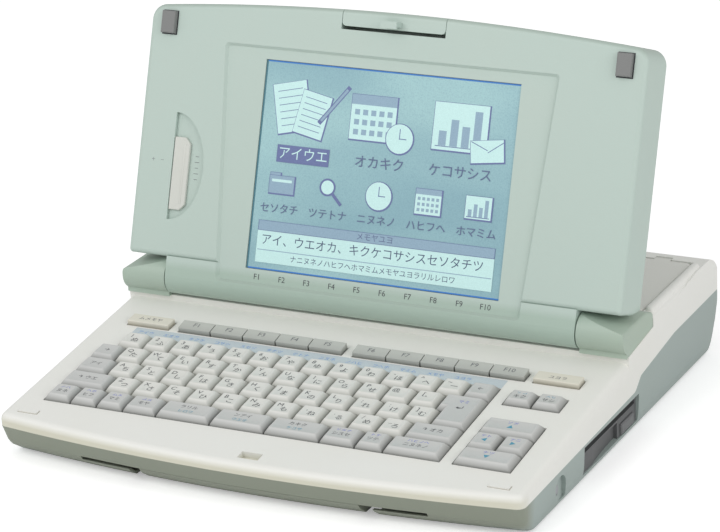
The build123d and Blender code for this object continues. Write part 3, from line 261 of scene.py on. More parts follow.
# Painted shade: the lid's upward faces are darkened because they get less light than its front.
shade_upward(lid_mint, (166, 181, 171), 0.8)
cover_white = moulded("cover_white", (218, 218, 212), (211, 211, 203))
cover_sage = moulded("cover_sage", (168, 185, 172), (180, 190, 170))
key_white = moulded("key_white", (221, 221, 216), (215, 214, 206), roughness=0.38)
key_grey = moulded("key_grey", (199, 200, 198), (192, 193, 189), roughness=0.38)
key_function = moulded("key_function", (190, 192, 186), (184, 185, 178), roughness=0.4)
key_cream = moulded("key_cream", (228, 225, 212), (222, 218, 202), roughness=0.4)
# Painted shade: each key's sides below its top are darkened, which stands in for the shade on the skirts and
# in the gaps.
for key_plastic, skirt_shade in ((key_white, (176, 177, 170)), (key_grey, (150, 151, 148)),
                                (key_function, (140, 142, 137)), (key_cream, (176, 172, 158))):
    tint_below(key_plastic, skirt_shade, 4.0 * mm, 3.4 * mm, deck_slope, deck_rise)
lever_white = moulded("lever_white", (206, 208, 201), (201, 202, 193), roughness=0.4)
drive_grey = moulded("drive_grey", (98, 99, 100), (88, 89, 90), roughness=0.5)
button_grey = moulded("button_grey", (112, 113, 114), (104, 105, 106), roughness=0.45)
dark_plastic = moulded("dark_plastic", (54, 56, 60), (46, 48, 52), roughness=0.5)
nylon = moulded("nylon", (226, 224, 214), (214, 210, 196), roughness=0.35)
bumper_rubber = moulded("bumper_rubber", (129, 130, 129), (121, 122, 121), roughness=0.65)
black_rubber = moulded("black_rubber", (44, 44, 46), (52, 52, 52), roughness=0.75, grain=1500)
solder_green = moulded("solder_green", (40, 88, 58), (34, 78, 50), roughness=0.3, grain=300)
module_grey = moulded("module_grey", (120, 122, 124), (112, 114, 116), roughness=0.4)


# %% Metals
def metal(name, colour, roughness, stretch):
    """A sheet or turned metal with fine lines along one axis."""
    material = new_material(name)
    shader = finish_shader(material, **{"Metallic": 1.0, "Base Color": paint(*colour)})
    place = add_node(material, "ShaderNodeTexCoord")
    mapping = add_node(material, "ShaderNodeMapping")
    mapping.inputs["Scale"].default_value = stretch
    lines = add_node(material, "ShaderNodeTexNoise", Scale=400.0, Detail=3.0)
    wire(material, place.outputs["Object"], mapping.inputs["Vector"])
    wire(material, mapping.outputs["Vector"], lines.inputs["Vector"])
    ramp = add_node(material, "ShaderNodeMapRange")
    ramp.inputs["To Min"].default_value = roughness - 0.08
    ramp.inputs["To Max"].default_value = roughness + 0.12
    wire(material, lines.outputs["Fac"], ramp.inputs["Value"])
    wire(material, ramp.outputs["Result"], shader.inputs["Roughness"])
    return material


zinc_steel = metal("zinc_steel", (176, 178, 182), 0.35, (0.1, 1, 1))
dull_aluminium = metal("dull_aluminium", (182, 184, 186), 0.4, (1, 0.1, 1))

# %% [markdown]
# ## Dressing the ready-made parts
# A part whose shape is right keeps its solid and only gets its finish, through its material slot.

# %% Finishes of the frame's parts
finishes = {
    "lower_case": case_green, "upper_case": case_white, "printer_cover": cover_white,
    "hinge_cover_left": cover_sage, "hinge_cover_right": cover_sage,
    "lid_front": lid_mint, "lid_back": lid_mint, "lid_latch": lid_mint,
    "lid_bumpers": bumper_rubber, "feet": bumper_rubber, "display_slider": lever_white,
    "drive_bezel": drive_grey, "eject_button": button_grey, "power_switch": drive_grey,
    "power_inlet": dark_plastic, "carry_handle": case_green,
    "function_keys": key_function, "menu_key": key_cream, "recall_key": key_cream,
    "hinge_brackets": zinc_steel, "case_screws": zinc_steel, "keyboard_plate": zinc_steel,
    "printer_frame": zinc_steel, "carriage_rail": zinc_steel, "platen_shaft": zinc_steel,
    "drive_spindle": zinc_steel, "floppy_drive": dull_aluminium, "feed_motor": dull_aluminium,
    "carriage_motor": dull_aluminium, "lcd_panel": module_grey, "keyboard_circuit": solder_green,
    "main_board": solder_green, "power_supply_board": solder_green, "inverter_board": solder_green,
    "platen_roller": black_rubber, "carriage_belt": black_rubber, "platen_gear": nylon,
    "motor_pinion": nylon, "print_carriage": dark_plastic, "ribbon_cassette": dark_plastic,
}


def dress(piece, material):
    """Gives a piece one material all over."""
    piece.data.materials.clear()
    piece.data.materials.append(material)


for name, material in finishes.items():
    dress(nodes[name], material)

# %% [markdown]
# ## Putting a finished piece in place
# A piece is modelled flat in millimetres at the origin. One call then moves its mesh into the
# deck's or the lid's plane, gives it a finish and makes it ride on its body.


# %% Placing helper
def settle(piece, name, matrix, body, material):
    piece.name = name
    piece.data.name = name
    piece.data.transform(matrix @ piece.matrix_world)
    piece.matrix_world = Matrix.Identity(4)
    dress(piece, material)
    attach(piece, body)
    piece.select_set(False)
    return piece


def join(pieces):
    """Joins pieces into the first one."""
    bpy.ops.object.select_all(action="DESELECT")
    for piece in pieces:
        piece.select_set(True)
    bpy.context.view_layer.objects.active = pieces[0]
    bpy.ops.object.join()
    return bpy.context.view_layer.objects.active


def copy_of(piece, x, y, z=0.0):
    """A copy of a piece with its own mesh, moved to a place."""
    twin = piece.copy()
    twin.data = piece.data.copy()
    twin.matrix_world = Matrix.Translation((x, y, z))
    bpy.context.scene.collection.objects.link(twin)
    return twin


# %% [markdown]
# ## Sculpted keys
# A key is a low block. Its top face is inset and raised, which leaves leaning sides, and inset and
# lowered once more, which leaves the shallow hollow that a fingertip finds. A bevel rounds it all.
# Each width is modelled once and copied along its row.

# %% Key sizes
key_pitch = 20.0
row_pitch = 19.75
key_gap = 1.0
key_skirt = 4.5
key_lip = 0.5
key_rise = 4.6
key_lean = 3.0
key_hollow = 0.6
key_round = 0.7
key_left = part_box("caps_key")[0][0] / mm - key_gap / 2
cluster_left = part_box("arrow_down_key")[0][0] / mm - key_gap / 2
print("left side of the keys", round(key_left, 2), "and of the arrow keys", round(cluster_left, 2))


# %% Modelling one key
def select_faces(piece, wanted):
    """Selects the faces of a piece in edit mode that a test picks."""
    bpy.ops.mesh.select_all(action="DESELECT")
    bpy.ops.object.mode_set(mode="OBJECT")
    for face in piece.data.polygons:
        face.select = wanted(face)
    bpy.ops.object.mode_set(mode="EDIT")
    bpy.ops.mesh.select_mode(type="FACE")


def raise_top(piece):
    """Insets the top of a block, raises it, and sinks a hollow into it."""
    select_faces(piece, lambda face: face.normal.z > 0.9)
    bpy.ops.mesh.inset(thickness=key_lean, use_boundary=True)
    bpy.ops.transform.translate(value=(0, 0, key_rise - key_lip))
    bpy.ops.mesh.inset(thickness=1.5, use_boundary=True)
    bpy.ops.transform.translate(value=(0, 0, -key_hollow))
    bpy.ops.object.mode_set(mode="OBJECT")


def round_off(piece, width, segments, angle=25):
    """Rounds the edges of a piece with an applied bevel and shades it smooth."""
    bpy.context.view_layer.objects.active = piece
    piece.select_set(True)
    bevel = piece.modifiers.new("round", "BEVEL")
    bevel.width = width
    bevel.segments = segments
    bevel.limit_method = "ANGLE"
    bevel.angle_limit = radians(angle)
    bpy.ops.object.modifier_apply(modifier=bevel.name)
    bpy.ops.object.shade_smooth_by_angle(angle=radians(40))


def key_model(width, depth):
    """One key of a width and depth in millimetres, with its middle at the origin."""
    bpy.ops.object.select_all(action="DESELECT")
    bpy.ops.mesh.primitive_cube_add(size=1, location=(0, 0, (key_lip - key_skirt) / 2))
    piece = bpy.context.object
    piece.scale = (width - key_gap, depth - key_gap, key_skirt + key_lip)
    bpy.ops.object.transform_apply(location=True, scale=True)
    bpy.ops.object.mode_set(mode="EDIT")
    raise_top(piece)
    round_off(piece, key_round, 3)
    return piece


def enter_model():
    """The tall key, wider in its rear row, with its front left corner at the origin."""
    bpy.ops.object.select_all(action="DESELECT")
    width = 1.25 * key_pitch - key_gap
    bpy.ops.mesh.primitive_cube_add(size=1)
    piece = bpy.context.object
    piece.scale = (width, row_pitch, key_skirt + key_lip)
    piece.location = (width / 2, row_pitch / 2, (key_lip - key_skirt) / 2)
    bpy.ops.object.transform_apply(location=True, scale=True)
    bpy.ops.object.mode_set(mode="EDIT")
    select_faces(piece, lambda face: face.normal.y > 0.9)
    bpy.ops.mesh.extrude_region_move(TRANSFORM_OT_translate={"value": (0, row_pitch - key_gap, 0)})
    select_faces(piece, lambda face: face.normal.x < -0.9 and face.center.y > row_pitch)
    bpy.ops.mesh.extrude_region_move(TRANSFORM_OT_translate={"value": (-0.25 * key_pitch, 0, 0)})
    raise_top(piece)
    round_off(piece, key_round, 3)
    return piece


# %% Rows of keys
key_rows = {
    "keys_number_row": (4, 0.5, [1] * 13, key_white, "key_white"),
    "keys_q_row": (3, 1.0, [1] * 12, key_white, "key_white"),
    "keys_a_row": (2, 1.25, [1] * 12, key_white, "key_white"),
    "keys_z_row": (1, 1.75, [1] * 11, key_white, "key_white"),
    "backspace_key": (4, 13.5, [1], key_grey, "key_grey"),
    "tab_key": (3, 0, [1], key_grey, "key_grey"),
    "caps_key": (2, 0, [1.25], key_grey, "key_grey"),
    "shift_left_key": (1, 0, [1.75], key_grey, "key_grey"),
    "shift_right_key": (1, 12.75, [1.75], key_grey, "key_grey"),
    "bottom_left_keys": (0, 0, [1, 1, 1, 1.25], key_grey, "key_grey"),
    "bottom_wide_keys": (0, 4.25, [2, 2, 2], key_grey, "key_grey"),
    "bottom_right_keys": (0, 10.25, [1.25, 1, 2], key_grey, "key_grey"),
}
models = {}
centres = {}
for name, (row, start, widths, material, slot) in key_rows.items():
    pieces = []
    centres[name] = []
    for width in widths:
        if width not in models:
            models[width] = key_model(width * key_pitch, row_pitch)
        x = key_left + (start + width / 2) * key_pitch
        y = (row + 0.5) * row_pitch
        pieces.append(copy_of(models[width], x, y))
        centres[name].append((x, y))
        start += width
    row_piece = join(pieces) if len(pieces) > 1 else pieces[0]
    bpy.context.view_layer.update()
    settle(row_piece, name + "_tops", Matrix.Scale(1, 4), frame["nodes"][name]["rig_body"], material)
    row_piece.data.transform(on_deck @ Matrix.Scale(mm, 4))
    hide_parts(name)
print("key widths modelled:", sorted(models))

# %% The enter key
enter = enter_model()
enter.data.transform(on_deck @ Matrix.Scale(mm, 4) @ Matrix.Translation(
    (key_left + 13.25 * key_pitch + key_gap / 2, 2 * row_pitch + key_gap / 2, 0)))
settle(enter, "enter_key_top", Matrix.Scale(1, 4), "enter_key", key_grey)
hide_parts("enter_key")

# %% [markdown]
# ## Cursor and edit keys
# The cursor keys stand in a block of their own. The two long ones are twice as wide, and each has
# its own joint, so each is a piece of its own.

# %% Cursor and edit keys
edit_depth = 17.5
edit_front = 79.2
arrow_pitch = (row_pitch * 5 - edit_depth - 3) / 4
cluster = {
    "arrow_down_key": (1.0, 0.5, 2, arrow_pitch),
    "arrow_left_key": (0.5, 1.5, 1, arrow_pitch),
    "arrow_right_key": (1.5, 1.5, 1, arrow_pitch),
    "arrow_up_key": (1.0, 2.5, 2, arrow_pitch),
    "insert_key": (0.5, (edit_front + edit_depth / 2) / arrow_pitch, 1, edit_depth),
    "delete_key": (1.5, (edit_front + edit_depth / 2) / arrow_pitch, 1, edit_depth),
}
for name, (column, row, width, depth) in cluster.items():
    if (width, depth) not in models:
        models[(width, depth)] = key_model(width * key_pitch, depth)
    x = cluster_left + column * key_pitch
    y = row * arrow_pitch
    piece = copy_of(models[(width, depth)], x, y)
    centres[name] = [(x, y)]
    bpy.context.view_layer.update()
    settle(piece, name + "_top", Matrix.Scale(1, 4), name, key_grey)
    piece.data.transform(on_deck @ Matrix.Scale(mm, 4))
    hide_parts(name)
for model in models.values():
    bpy.data.objects.remove(model)

# %% [markdown]
# ## Legends
# A legend is printed ink. A text object is turned into a flat mesh and laid a twentieth of a
# millimetre over its key or panel, so it moves with what it is printed on.


# %% Inks
def ink(name, colour):
    """Printed ink with a slightly uneven coat."""
    material = new_material(name)
    shader = finish_shader(material, **{"Roughness": 0.5})
    place = add_node(material, "ShaderNodeTexCoord")
    coat = add_node(material, "ShaderNodeTexNoise", Scale=1200.0, Detail=2.0)
    wire(material, place.outputs["Object"], coat.inputs["Vector"])
    mix = add_node(material, "ShaderNodeMix", data_type="RGBA")
    mix.inputs["A"].default_value = paint(*colour)
    mix.inputs["B"].default_value = paint(*[min(value + 22, 255) for value in colour])
    wire(material, coat.outputs["Fac"], mix.inputs["Factor"])
    wire(material, mix.outputs["Result"], shader.inputs["Base Color"])
    return material


ink_dark = ink("ink_dark", (56, 58, 63))
ink_blue = ink("ink_blue", (96, 104, 190))
ink_teal = ink("ink_teal", (70, 140, 165))
ink_sky = ink("ink_sky", (90, 140, 200))
ink_soft = ink("ink_soft", (92, 94, 98))
ink_pale = ink("ink_pale", (182, 193, 198))


# %% Letter helper
def letters(text, size, x, y, z, turn_by=0.0):
    """Flat letters in millimetres with their middle at a place."""
    bpy.ops.object.select_all(action="DESELECT")
    bpy.ops.object.text_add(location=(0, 0, 0))
    piece = bpy.context.object
    piece.data.body = text
    piece.data.size = size
    piece.data.align_x = "CENTER"
    piece.data.align_y = "CENTER"
    piece.data.resolution_u = 2
    bpy.ops.object.convert(target="MESH")
    piece = bpy.context.object
    piece.matrix_world = Matrix.Translation((x, y, z)) @ Matrix.Rotation(turn_by, 4, "Z")
    bpy.context.view_layer.update()
    return piece


def print_legends(name, marks, z, matrix, body, material):
    """Prints a list of marks (text, size, x, y) as one piece."""
    pieces = [letters(text, size, x, y, z) for text, size, x, y in marks]
    piece = join(pieces) if len(pieces) > 1 else pieces[0]
    bpy.context.view_layer.update()
    piece.data.transform(piece.matrix_world)
    piece.matrix_world = Matrix.Identity(4)
    return settle(piece, name, matrix @ Matrix.Scale(mm, 4), body, material)


# %% Legends of the letter keys
top_z = key_rise - key_hollow + 0.05
letter_rows = {
    "keys_number_row": ("1234567890-^~", "ぬふあうえおやゆよわほへー"),
    "keys_q_row": ("QWERTYUIOP@[", "たていすかんなにらせ゛゜"),
    "keys_a_row": ("ASDFGHJKL;:]", "ちとしはきくまのりれけむ"),
    "keys_z_row": ("ZXCVBNM,./_", "つさそひこみもねるめろ"),
}
for name, (upper, lower) in letter_rows.items():
    marks = []
    for (x, y), first, second in zip(centres[name], upper, lower):
        marks.append((first, 5.6, x - 2.7, y + 2.7))
        marks.append((second, 6.2, x + 1.8, y - 2.2))
    print_legends(name + "_print", marks, top_z, on_deck, name, ink_dark)
print("letter keys printed:", sum(len(centres[name]) for name in letter_rows))

# %% Legends of the grey keys
# Words are left out. Letters in their plain alphabetical order stand in their places.
alphabet = "アイウエオカキクケコサシスセソタチツテトナニヌネノハヒフヘホマミムメモヤユヨラリルレロワン"


def run_of(start, count):
    """Some letters of the alphabet in their order."""
    doubled = alphabet + alphabet
    return doubled[start % len(alphabet):start % len(alphabet) + count]


grey_marks = {
    "tab_key": [("→", 5.2, 0, 0, ink_dark)],
    "caps_key": [(run_of(0, 2), 4.6, 0, 0, ink_dark)],
    "shift_left_key": [("↑ " + run_of(2, 2), 4.8, 0, 0, ink_dark)],
    "shift_right_key": [("↑ " + run_of(4, 2), 4.8, 0, 0, ink_dark)],
    "backspace_key": [("←", 5.2, 0, 0, ink_dark)],
    "insert_key": [(run_of(6, 2), 4.6, 0, -1.8, ink_dark), (run_of(8, 2), 3.8, 0, 3.2, ink_teal)],
    "delete_key": [(run_of(10, 2), 4.6, 0, -1.8, ink_dark), (run_of(12, 2), 3.8, 0, 3.2, ink_teal)],
    "arrow_up_key": [("▲", 4.6, 0, -1.4, ink_teal), (run_of(14, 2), 4.0, 0, 3.6, ink_blue)],
    "arrow_down_key": [("▼", 4.6, 0, -1.4, ink_teal), (run_of(16, 2), 4.0, 0, 3.4, ink_blue)],
    "arrow_left_key": [("◀", 4.6, 0, -1.4, ink_teal), (run_of(18, 2), 3.8, 0, 3.4, ink_blue)],
    "arrow_right_key": [("▶", 4.6, 0, -1.4, ink_teal), (run_of(20, 2), 3.8, 0, 3.4, ink_blue)],
}
for name, marks in grey_marks.items():
    (x, y), = centres[name]
    for number, (text, size, dx, dy, material) in enumerate(marks):
        print_legends(f"{name}_print_{number}", [(text, size, x + dx, y + dy)], top_z, on_deck, name,
                      material)

# %% Legends of the bottom row
bottom_rows = {"bottom_left_keys": (2, 2, 2, 2), "bottom_wide_keys": (3, 3, 3), "bottom_right_keys": (3, 2, 4)}
taken = 22
for name, counts in bottom_rows.items():
    wide = name == "bottom_wide_keys"
    dark_marks = []
    blue_marks = []
    for count, (x, y) in zip(counts, centres[name]):
        dark_marks.append((run_of(taken, count), 4.4, x, y + (2.2 if wide else -1.2)))
        blue_marks.append((run_of(taken + count, count), 3.8, x, y + (-3.4 if wide else 3.8)))
        taken += 2 * count
    print_legends(name + "_print", dark_marks, top_z, on_deck, name, ink_dark)
    print_legends(name + "_print_2", blue_marks, top_z, on_deck, name, ink_teal if wide else ink_blue)
enter_x = key_left + 13.85 * key_pitch
print_legends("enter_key_print", [("↵", 6.0, enter_x, 3.1 * row_pitch)], top_z, on_deck, "enter_key",
              ink_dark)
print_legends("enter_key_print_2", [(run_of(30, 2), 4.0, enter_x, 3.5 * row_pitch)], top_z, on_deck,
              "enter_key", ink_blue)

# %% Legends of the function keys
function_row = 112.0
function_depth = 11.0
function_pitch = 25.2
function_left = key_left + 41.2
function_break = 7.6
function_tilt = atan2(4.4 - 3.2, function_depth)
slanted = on_deck @ Matrix.Translation((0, (function_row + function_depth / 2) * mm, 3.85 * mm))
slanted = slanted @ Matrix.Rotation(function_tilt, 4, "X")
marks = []
function_middles = []
for number in range(10):
    x = function_left + (number + 0.5) * function_pitch + (function_break if number > 4 else 0)
    function_middles.append(x)
    marks.append((f"F{number + 1}", 5.8, x, 0.2))
print_legends("function_keys_print", marks, 0.0, slanted, "function_keys", ink_soft)
end_z = 3.6 + 0.05
menu_x = (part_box("menu_key")[0][0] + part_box("menu_key")[1][0]) / 2 / mm
recall_x = (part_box("recall_key")[0][0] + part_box("recall_key")[1][0]) / 2 / mm
end_y = function_row + 11.5 / 2
print_legends("menu_key_print", [(run_of(32, 4), 4.6, menu_x, end_y)], end_z, on_deck, "menu_key", ink_soft)
print_legends("recall_key_print", [(run_of(36, 3), 4.4, recall_x, end_y - 1.0)], end_z, on_deck, "recall_key",
              ink_soft)

# %% [markdown]
# ## The printed strip
# Between the number row and the function keys lies a pale strip with the second uses of the number
# keys. It is a thin flat sheet that lies just behind the backs of the keys.


# %% Flat sheets
def sheet_of(width, depth, x, y, z):
    """A flat rectangle in millimetres."""
    bpy.ops.object.select_all(action="DESELECT")
    bpy.ops.mesh.primitive_plane_add(size=1, location=(x, y, z))
    piece = bpy.context.object
    piece.scale = (width, depth, 1)
    bpy.ops.object.transform_apply(location=True, scale=True)
    return piece


strip_left = key_left + 0.5 * key_pitch
strip_right = key_left + 14.5 * key_pitch
strip_low = 5 * row_pitch + 0.6
strip_high = function_row - 1.6
strip = sheet_of(strip_right - strip_left, strip_high - strip_low, (strip_left + strip_right) / 2,
                 (strip_low + strip_high) / 2, 0.05)
settle(strip, "legend_strip", on_deck @ Matrix.Scale(mm, 4), "base", ink_pale)
marks = [(run_of(3 * number, 3), 4.2, x, (strip_low + strip_high) / 2)
         for number, (x, y) in enumerate(centres["keys_number_row"])]
print_legends("strip_print", marks, 0.1, on_deck, "base", ink_sky)

# %% Edges of the two pads that meet the bumpers
pad_x = 170.0
pad_y = -16.9
pads = [sheet_of(15.0, 5.0, side * pad_x, pad_y, 0.04) for side in (-1, 1)]
settle(join(pads), "pad_edges", on_deck @ Matrix.Scale(mm, 4), "base", key_cream)

# %% Marks on the lid
lid_front_d = 12.7
panel_d = lid_front_d - 2.1
label_left = -83.4
label_pitch = 19.13
marks = [(f"F{number + 1}", 5.6, label_left + number * label_pitch, 6.8) for number in range(10)]
print_legends("lid_print", marks, panel_d + 0.05, on_lid, "lid", ink_dark)
slider_h = 76.5
recess_d = lid_front_d - 2.6
ticks = [sheet_of(3.6 if number % 2 else 2.6, 0.35, -139.4, slider_h - 8 + 4 * number, recess_d + 0.05)
         for number in range(5)]
settle(join(ticks), "slider_ticks", on_lid @ Matrix.Scale(mm, 4), "lid", ink_soft)
print_legends("slider_print", [("＋", 3.4, -172.5, slider_h + 3), ("－", 3.4, -165.5, slider_h + 3)],
              lid_front_d + 0.05, on_lid, "lid", ink_soft)

# %% Ridge along the slider, and the dark seats of the bumpers
bpy.ops.object.select_all(action="DESELECT")
bpy.ops.mesh.primitive_cube_add(size=1, location=(-148.6, 71.5, lid_front_d - 0.25))
ridge = bpy.context.object
ridge.scale = (1.6, 42, 0.8)
bpy.ops.object.transform_apply(location=True, scale=True)
round_off(ridge, 0.3, 2)
settle(ridge, "slider_ridge", on_lid @ Matrix.Scale(mm, 4), "display_slider", lever_white)
bumper_x = 170.0
bumper_h = 176.0
seats = [sheet_of(12.0, 17.0, side * bumper_x + 0.2, bumper_h - 0.2, lid_front_d + 0.03) for side in (-1, 1)]
settle(join(seats), "bumper_seats", on_lid @ Matrix.Scale(mm, 4), "lid", dark_plastic)

# %% [markdown]
# ## The screen
# The liquid crystal is blue-green with a fine grid. A plain menu stands on it, drawn from flat
# shapes: a pale panel, small pictures and lines of writing.

# %% Screen glass
screen_blue = new_material("screen_blue")
shader = finish_shader(screen_blue, **{"Roughness": 0.32, "Specular IOR Level": 0.35})
place = add_node(screen_blue, "ShaderNodeTexCoord")
mapping = add_node(screen_blue, "ShaderNodeMapping")
mapping.inputs["Rotation"].default_value = (0.0, radians(35), 0.0)
mapping.inputs["Scale"].default_value = (6.0, 1.0, 16.0)
wire(screen_blue, place.outputs["Object"], mapping.inputs["Vector"])
bands = add_node(screen_blue, "ShaderNodeTexNoise", Scale=1.0, Detail=2.0)
wire(screen_blue, mapping.outputs["Vector"], bands.inputs["Vector"])
ramp = add_node(screen_blue, "ShaderNodeMapRange")
ramp.inputs["From Min"].default_value = 0.35
ramp.inputs["From Max"].default_value = 0.65
wire(screen_blue, bands.outputs["Fac"], ramp.inputs["Value"])
mix = add_node(screen_blue, "ShaderNodeMix", data_type="RGBA")
mix.inputs["A"].default_value = paint(140, 178, 188)
mix.inputs["B"].default_value = paint(164, 202, 205)
wire(screen_blue, ramp.outputs["Result"], mix.inputs["Factor"])
dots = add_node(screen_blue, "ShaderNodeTexNoise", Scale=1100.0, Detail=1.0)
wire(screen_blue, place.outputs["Object"], dots.inputs["Vector"])
dots_range = add_node(screen_blue, "ShaderNodeMapRange")
dots_range.inputs["From Min"].default_value = 0.4
dots_range.inputs["From Max"].default_value = 0.9
dots_range.inputs["To Max"].default_value = 0.4
wire(screen_blue, dots.outputs["Fac"], dots_range.inputs["Value"])
grain_mix = add_node(screen_blue, "ShaderNodeMix", data_type="RGBA")
grain_mix.inputs["B"].default_value = paint(108, 142, 162)
wire(screen_blue, mix.outputs["Result"], grain_mix.inputs["A"])
wire(screen_blue, dots_range.outputs["Result"], grain_mix.inputs["Factor"])
wire(screen_blue, grain_mix.outputs["Result"], shader.inputs["Base Color"])
dress(nodes["lcd_window"], screen_blue)

# %% [markdown]
# ## The picture on the screen
# The menu is drawn in flat shapes of four inks. Each shape lies a few thousandths of a millimetre
# over the one before, so a later shape hides an earlier one. All shapes of one ink are one piece.

# %% Shapes of the picture
layers = {"edge": [], "pale": [], "tone": [], "stroke": []}
layer_step = 0.003


def lift():
    """Height of the next shape over the glass."""
    return layer_step * (1 + sum(len(shapes) for shapes in layers.values()))


def tile(layer, width, depth, x, y, turn_by=0.0):
    """Adds a flat rectangle of one ink, turned about its own middle."""
    piece = sheet_of(width, depth, 0, 0, 0)
    piece.matrix_world = Matrix.Translation((x, y, lift())) @ Matrix.Rotation(turn_by, 4, "Z")
    layers[layer].append(piece)


def disc(layer, radius, x, y):
    """Adds a flat disc of one ink."""
    bpy.ops.object.select_all(action="DESELECT")
    bpy.ops.mesh.primitive_circle_add(vertices=28, radius=radius, fill_type="NGON", location=(x, y, lift()))
    layers[layer].append(bpy.context.object)


def field(width, depth, x, y, turn_by=0.0, layer="pale"):
    """A field with a dark edge, heavier at its lower right."""
    tile("edge", width + 1.4, depth + 1.4, x + 0.4, y - 0.4, turn_by)
    tile(layer, width, depth, x, y, turn_by)


def sheet_motif(x, y, size, turn_by):
    """A written sheet."""
    field(0.75 * size, size, x, y, turn_by)
    for number in range(6):
        along = (2.5 - number) * size * 0.14
        tile("stroke", 0.56 * size, 0.5, x - along * sin(turn_by), y + along * cos(turn_by), turn_by)


def envelope_motif(x, y, size, turn_by):
    """A closed envelope."""
    field(size, 0.62 * size, x, y, turn_by)
    for side in (-1, 1):
        tile("stroke", 0.56 * size, 0.6, x + side * 0.25 * size, y + 0.13 * size, side * 0.5 + turn_by)


def calendar_motif(x, y, size):
    """A wall calendar."""
    field(size, 0.9 * size, x, y)
    tile("tone", size, 0.2 * size, x, y + 0.35 * size)
    for row in range(3):
        for column in range(5):
            tile("tone", 0.11 * size, 0.11 * size, x + (column - 2) * 0.18 * size,
                 y + (0.9 - row) * 0.2 * size - 0.08 * size)


def chart_motif(x, y, size):
    """A chart of four bars."""
    field(size, 0.8 * size, x, y)
    for number, share in enumerate((0.25, 0.45, 0.35, 0.62)):
        tile("tone", 0.14 * size, share * size, x + (number - 1.5) * 0.21 * size,
             y - 0.33 * size + share * size / 2)
    tile("stroke", 0.88 * size, 0.6, x, y - 0.34 * size)


def clock_motif(x, y, size):
    """A round clock."""
    disc("edge", size / 2 + 0.8, x + 0.3, y - 0.3)
    disc("pale", size / 2, x, y)
    tile("stroke", 0.7, 0.36 * size, x, y + 0.16 * size)
    tile("stroke", 0.28 * size, 0.7, x + 0.12 * size, y)


def folder_motif(x, y, size):
    """A folder with a tab."""
    field(0.4 * size, 0.2 * size, x - 0.28 * size, y + 0.32 * size, layer="tone")
    field(size, 0.64 * size, x, y, layer="tone")
    tile("pale", 0.8 * size, 0.1 * size, x, y + 0.14 * size)


def lens_motif(x, y, size):
    """A magnifying glass."""
    tile("edge", 0.6 * size, 2.2, x + 0.28 * size, y - 0.28 * size, -pi / 4)
    disc("edge", 0.32 * size, x - 0.1 * size, y + 0.1 * size)
    disc("pale", 0.25 * size, x - 0.1 * size, y + 0.1 * size)


def pencil_motif(x, y, size, turn_by):
    """A pencil."""
    tile("edge", size, 3.2, x, y, turn_by)
    tile("tone", 0.86 * size, 1.8, x, y, turn_by)


# %% The menu
sheet_motif(-70, 126, 34, 0.22)
sheet_motif(-54, 122, 30, -0.2)
pencil_motif(-38, 130, 34, 0.9)
calendar_motif(-8, 124, 34)
clock_motif(13, 112, 20)
chart_motif(57, 124, 40)
envelope_motif(78, 110, 24, 0.12)
for number, motif in enumerate((folder_motif, lens_motif, clock_motif, calendar_motif, chart_motif)):
    motif(-72 + 37 * number, 72, 19)
label_h = 93.5
tile("edge", 40, 12, -58, label_h)
bar_left = -86.5
bar_right = 91.5
panel_mid = (bar_left + bar_right) / 2
tile("edge", bar_right - bar_left, 7.0, panel_mid, 43.0)
tile("tone", bar_right - bar_left - 0.8, 6.4, panel_mid, 43.0)
tile("pale", bar_right - bar_left, 22.0, panel_mid, 28.4)
tile("tone", bar_right - bar_left - 2, 0.6, panel_mid, 26.2)
window_low = 12.2
window_high = 156.9
window_left = -93.0
window_right = 97.7
middle = (window_left + window_right) / 2

# %% Layers and writing of the picture
glass_d = panel_d - 0.8
tones = {
    "edge": ink("lcd_edge", (92, 104, 150)), "pale": ink("lcd_pale", (188, 224, 222)),
    "tone": ink("lcd_tone", (132, 160, 180)), "stroke": ink("lcd_stroke", (104, 122, 158)),
}
writing_d = glass_d + lift() + 0.02
on_glass = on_lid @ Matrix.Scale(mm, 4) @ Matrix.Translation((0, 0, glass_d))
for layer, pieces in layers.items():
    bpy.context.view_layer.update()
    for piece in pieces:
        piece.data.transform(piece.matrix_world)
        piece.matrix_world = Matrix.Identity(4)
    settle(join(pieces), "picture_" + layer, on_glass, "lid", tones[layer])
print("shapes in the picture reach", round(writing_d - glass_d, 3), "mm over the glass")
lcd_dark = ink("lcd_dark", (58, 74, 104))
lcd_label = ink("lcd_label", (82, 96, 132))
print_legends("picture_highlight", [(run_of(0, 4), 9.6, -58, label_h)], writing_d, on_lid, "lid",
              tones["pale"])
labels = [(run_of(4, 4), 9.4, 0, label_h), (run_of(8, 5), 9.4, 60, label_h)]
labels += [(run_of(13 + 4 * number, 4), 7.4, -72 + 37 * number, 55) for number in range(5)]
labels.append((run_of(33, 5), 5.6, panel_mid, 43.0))
print_legends("picture_labels", labels, writing_d, on_lid, "lid", lcd_label)
line = "、".join(run_of(start, count) for start, count in ((0, 2), (2, 4), (6, 12)))
print_legends("picture_message", [(line, 8.4, panel_mid - 2, 33.0), (run_of(20, 24), 5.2, panel_mid, 21.6)],
              writing_d, on_lid, "lid", lcd_dark)
edge_d = glass_d + 0.03
blue_lines = [sheet_of(window_right - window_left - 0.6, 1.0, middle, h, edge_d)
              for h in (window_low + 0.8, window_high - 0.8)]
settle(join(blue_lines), "screen_lines", on_lid @ Matrix.Scale(mm, 4), "lid",
       ink("lcd_blue", (48, 112, 188)))
# Painted shade: a dark teal strip along the window's left edge stands in for the shade on the recess wall
# there.
left_shade_line = sheet_of(1.2, window_high - window_low - 0.6, window_left + 0.9, (window_low + window_high) / 2,
                     edge_d + 0.01)
settle(left_shade_line, "screen_edge_shade", on_lid @ Matrix.Scale(mm, 4), "lid", ink("lcd_teal", (58, 108, 122)))

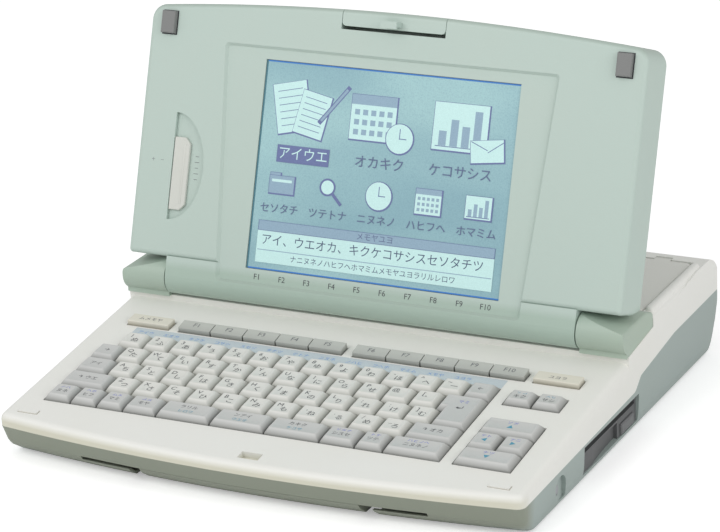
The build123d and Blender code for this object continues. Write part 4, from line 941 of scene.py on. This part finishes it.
# %% Door of the disk slot
slot_front = -66.0
slot_rear = 24.0
slot_low = 17.5
slot_high = 22.3
bezel_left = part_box("drive_bezel")[0][0] / mm
bpy.ops.object.select_all(action="DESELECT")
bpy.ops.mesh.primitive_cube_add(size=1, location=(bezel_left + 2.4, (slot_front + slot_rear) / 2,
                                                  (slot_low + slot_high) / 2))
door = bpy.context.object
door.scale = (0.8, slot_rear - slot_front - 0.4, slot_high - slot_low - 0.4)
bpy.ops.object.transform_apply(location=True, scale=True)
round_off(door, 0.25, 2)
settle(door, "slot_door", Matrix.Scale(mm, 4), "base", dark_plastic)

# %% Floor, backdrop and light
bpy.ops.object.select_all(action="DESELECT")
bpy.ops.mesh.primitive_plane_add(size=8, location=(0, 0, 0))
floor = bpy.context.object
floor.name = "floor"
floor_paper = new_material("floor_paper")
shader = finish_shader(floor_paper, **{"Base Color": paint(250, 250, 250), "Roughness": 0.9})
floor_path = add_node(floor_paper, "ShaderNodeLightPath")
glow = add_node(floor_paper, "ShaderNodeMath", operation="MULTIPLY")
glow.inputs[1].default_value = 0.34
wire(floor_paper, floor_path.outputs["Is Camera Ray"], glow.inputs[0])
wire(floor_paper, glow.outputs[0], shader.inputs["Emission Strength"])
shader.inputs["Emission Color"].default_value = (1, 1, 1, 1)
dress(floor, floor_paper)

world = bpy.data.worlds.new("world")
bpy.context.scene.world = world
world.use_nodes = True
tree = world.node_tree
tree.nodes.clear()
output = tree.nodes.new("ShaderNodeOutputWorld")
sky = tree.nodes.new("ShaderNodeBackground")
sky.inputs["Color"].default_value = (1, 1, 1, 1)
sky.inputs["Strength"].default_value = 0.62
white = tree.nodes.new("ShaderNodeBackground")
white.inputs["Strength"].default_value = 1.0
white.inputs["Color"].default_value = (1, 1, 1, 1)
path = tree.nodes.new("ShaderNodeLightPath")
choose = tree.nodes.new("ShaderNodeMixShader")
tree.links.new(path.outputs["Is Camera Ray"], choose.inputs["Fac"])
tree.links.new(sky.outputs["Background"], choose.inputs[1])
tree.links.new(white.outputs["Background"], choose.inputs[2])
tree.links.new(choose.outputs["Shader"], output.inputs["Surface"])


def lamp(name, place, target, size, power):
    """A soft square lamp that looks at a place."""
    data = bpy.data.lights.new(name, "AREA")
    data.shape = "SQUARE"
    data.size = size
    data.energy = power
    piece = bpy.data.objects.new(name, data)
    bpy.context.scene.collection.objects.link(piece)
    piece.location = place
    piece.rotation_euler = (Vector(target) - Vector(place)).to_track_quat("-Z", "Y").to_euler()
    return piece


lamp("key_lamp", (-1.0, -2.0, 1.9), (0, 0, 0.1), 1.6, 25)
lamp("fill_lamp", (2.1, -0.8, 1.3), (0, 0, 0.1), 1.4, 14)

bpy.context.scene.view_settings.view_transform = "Standard"
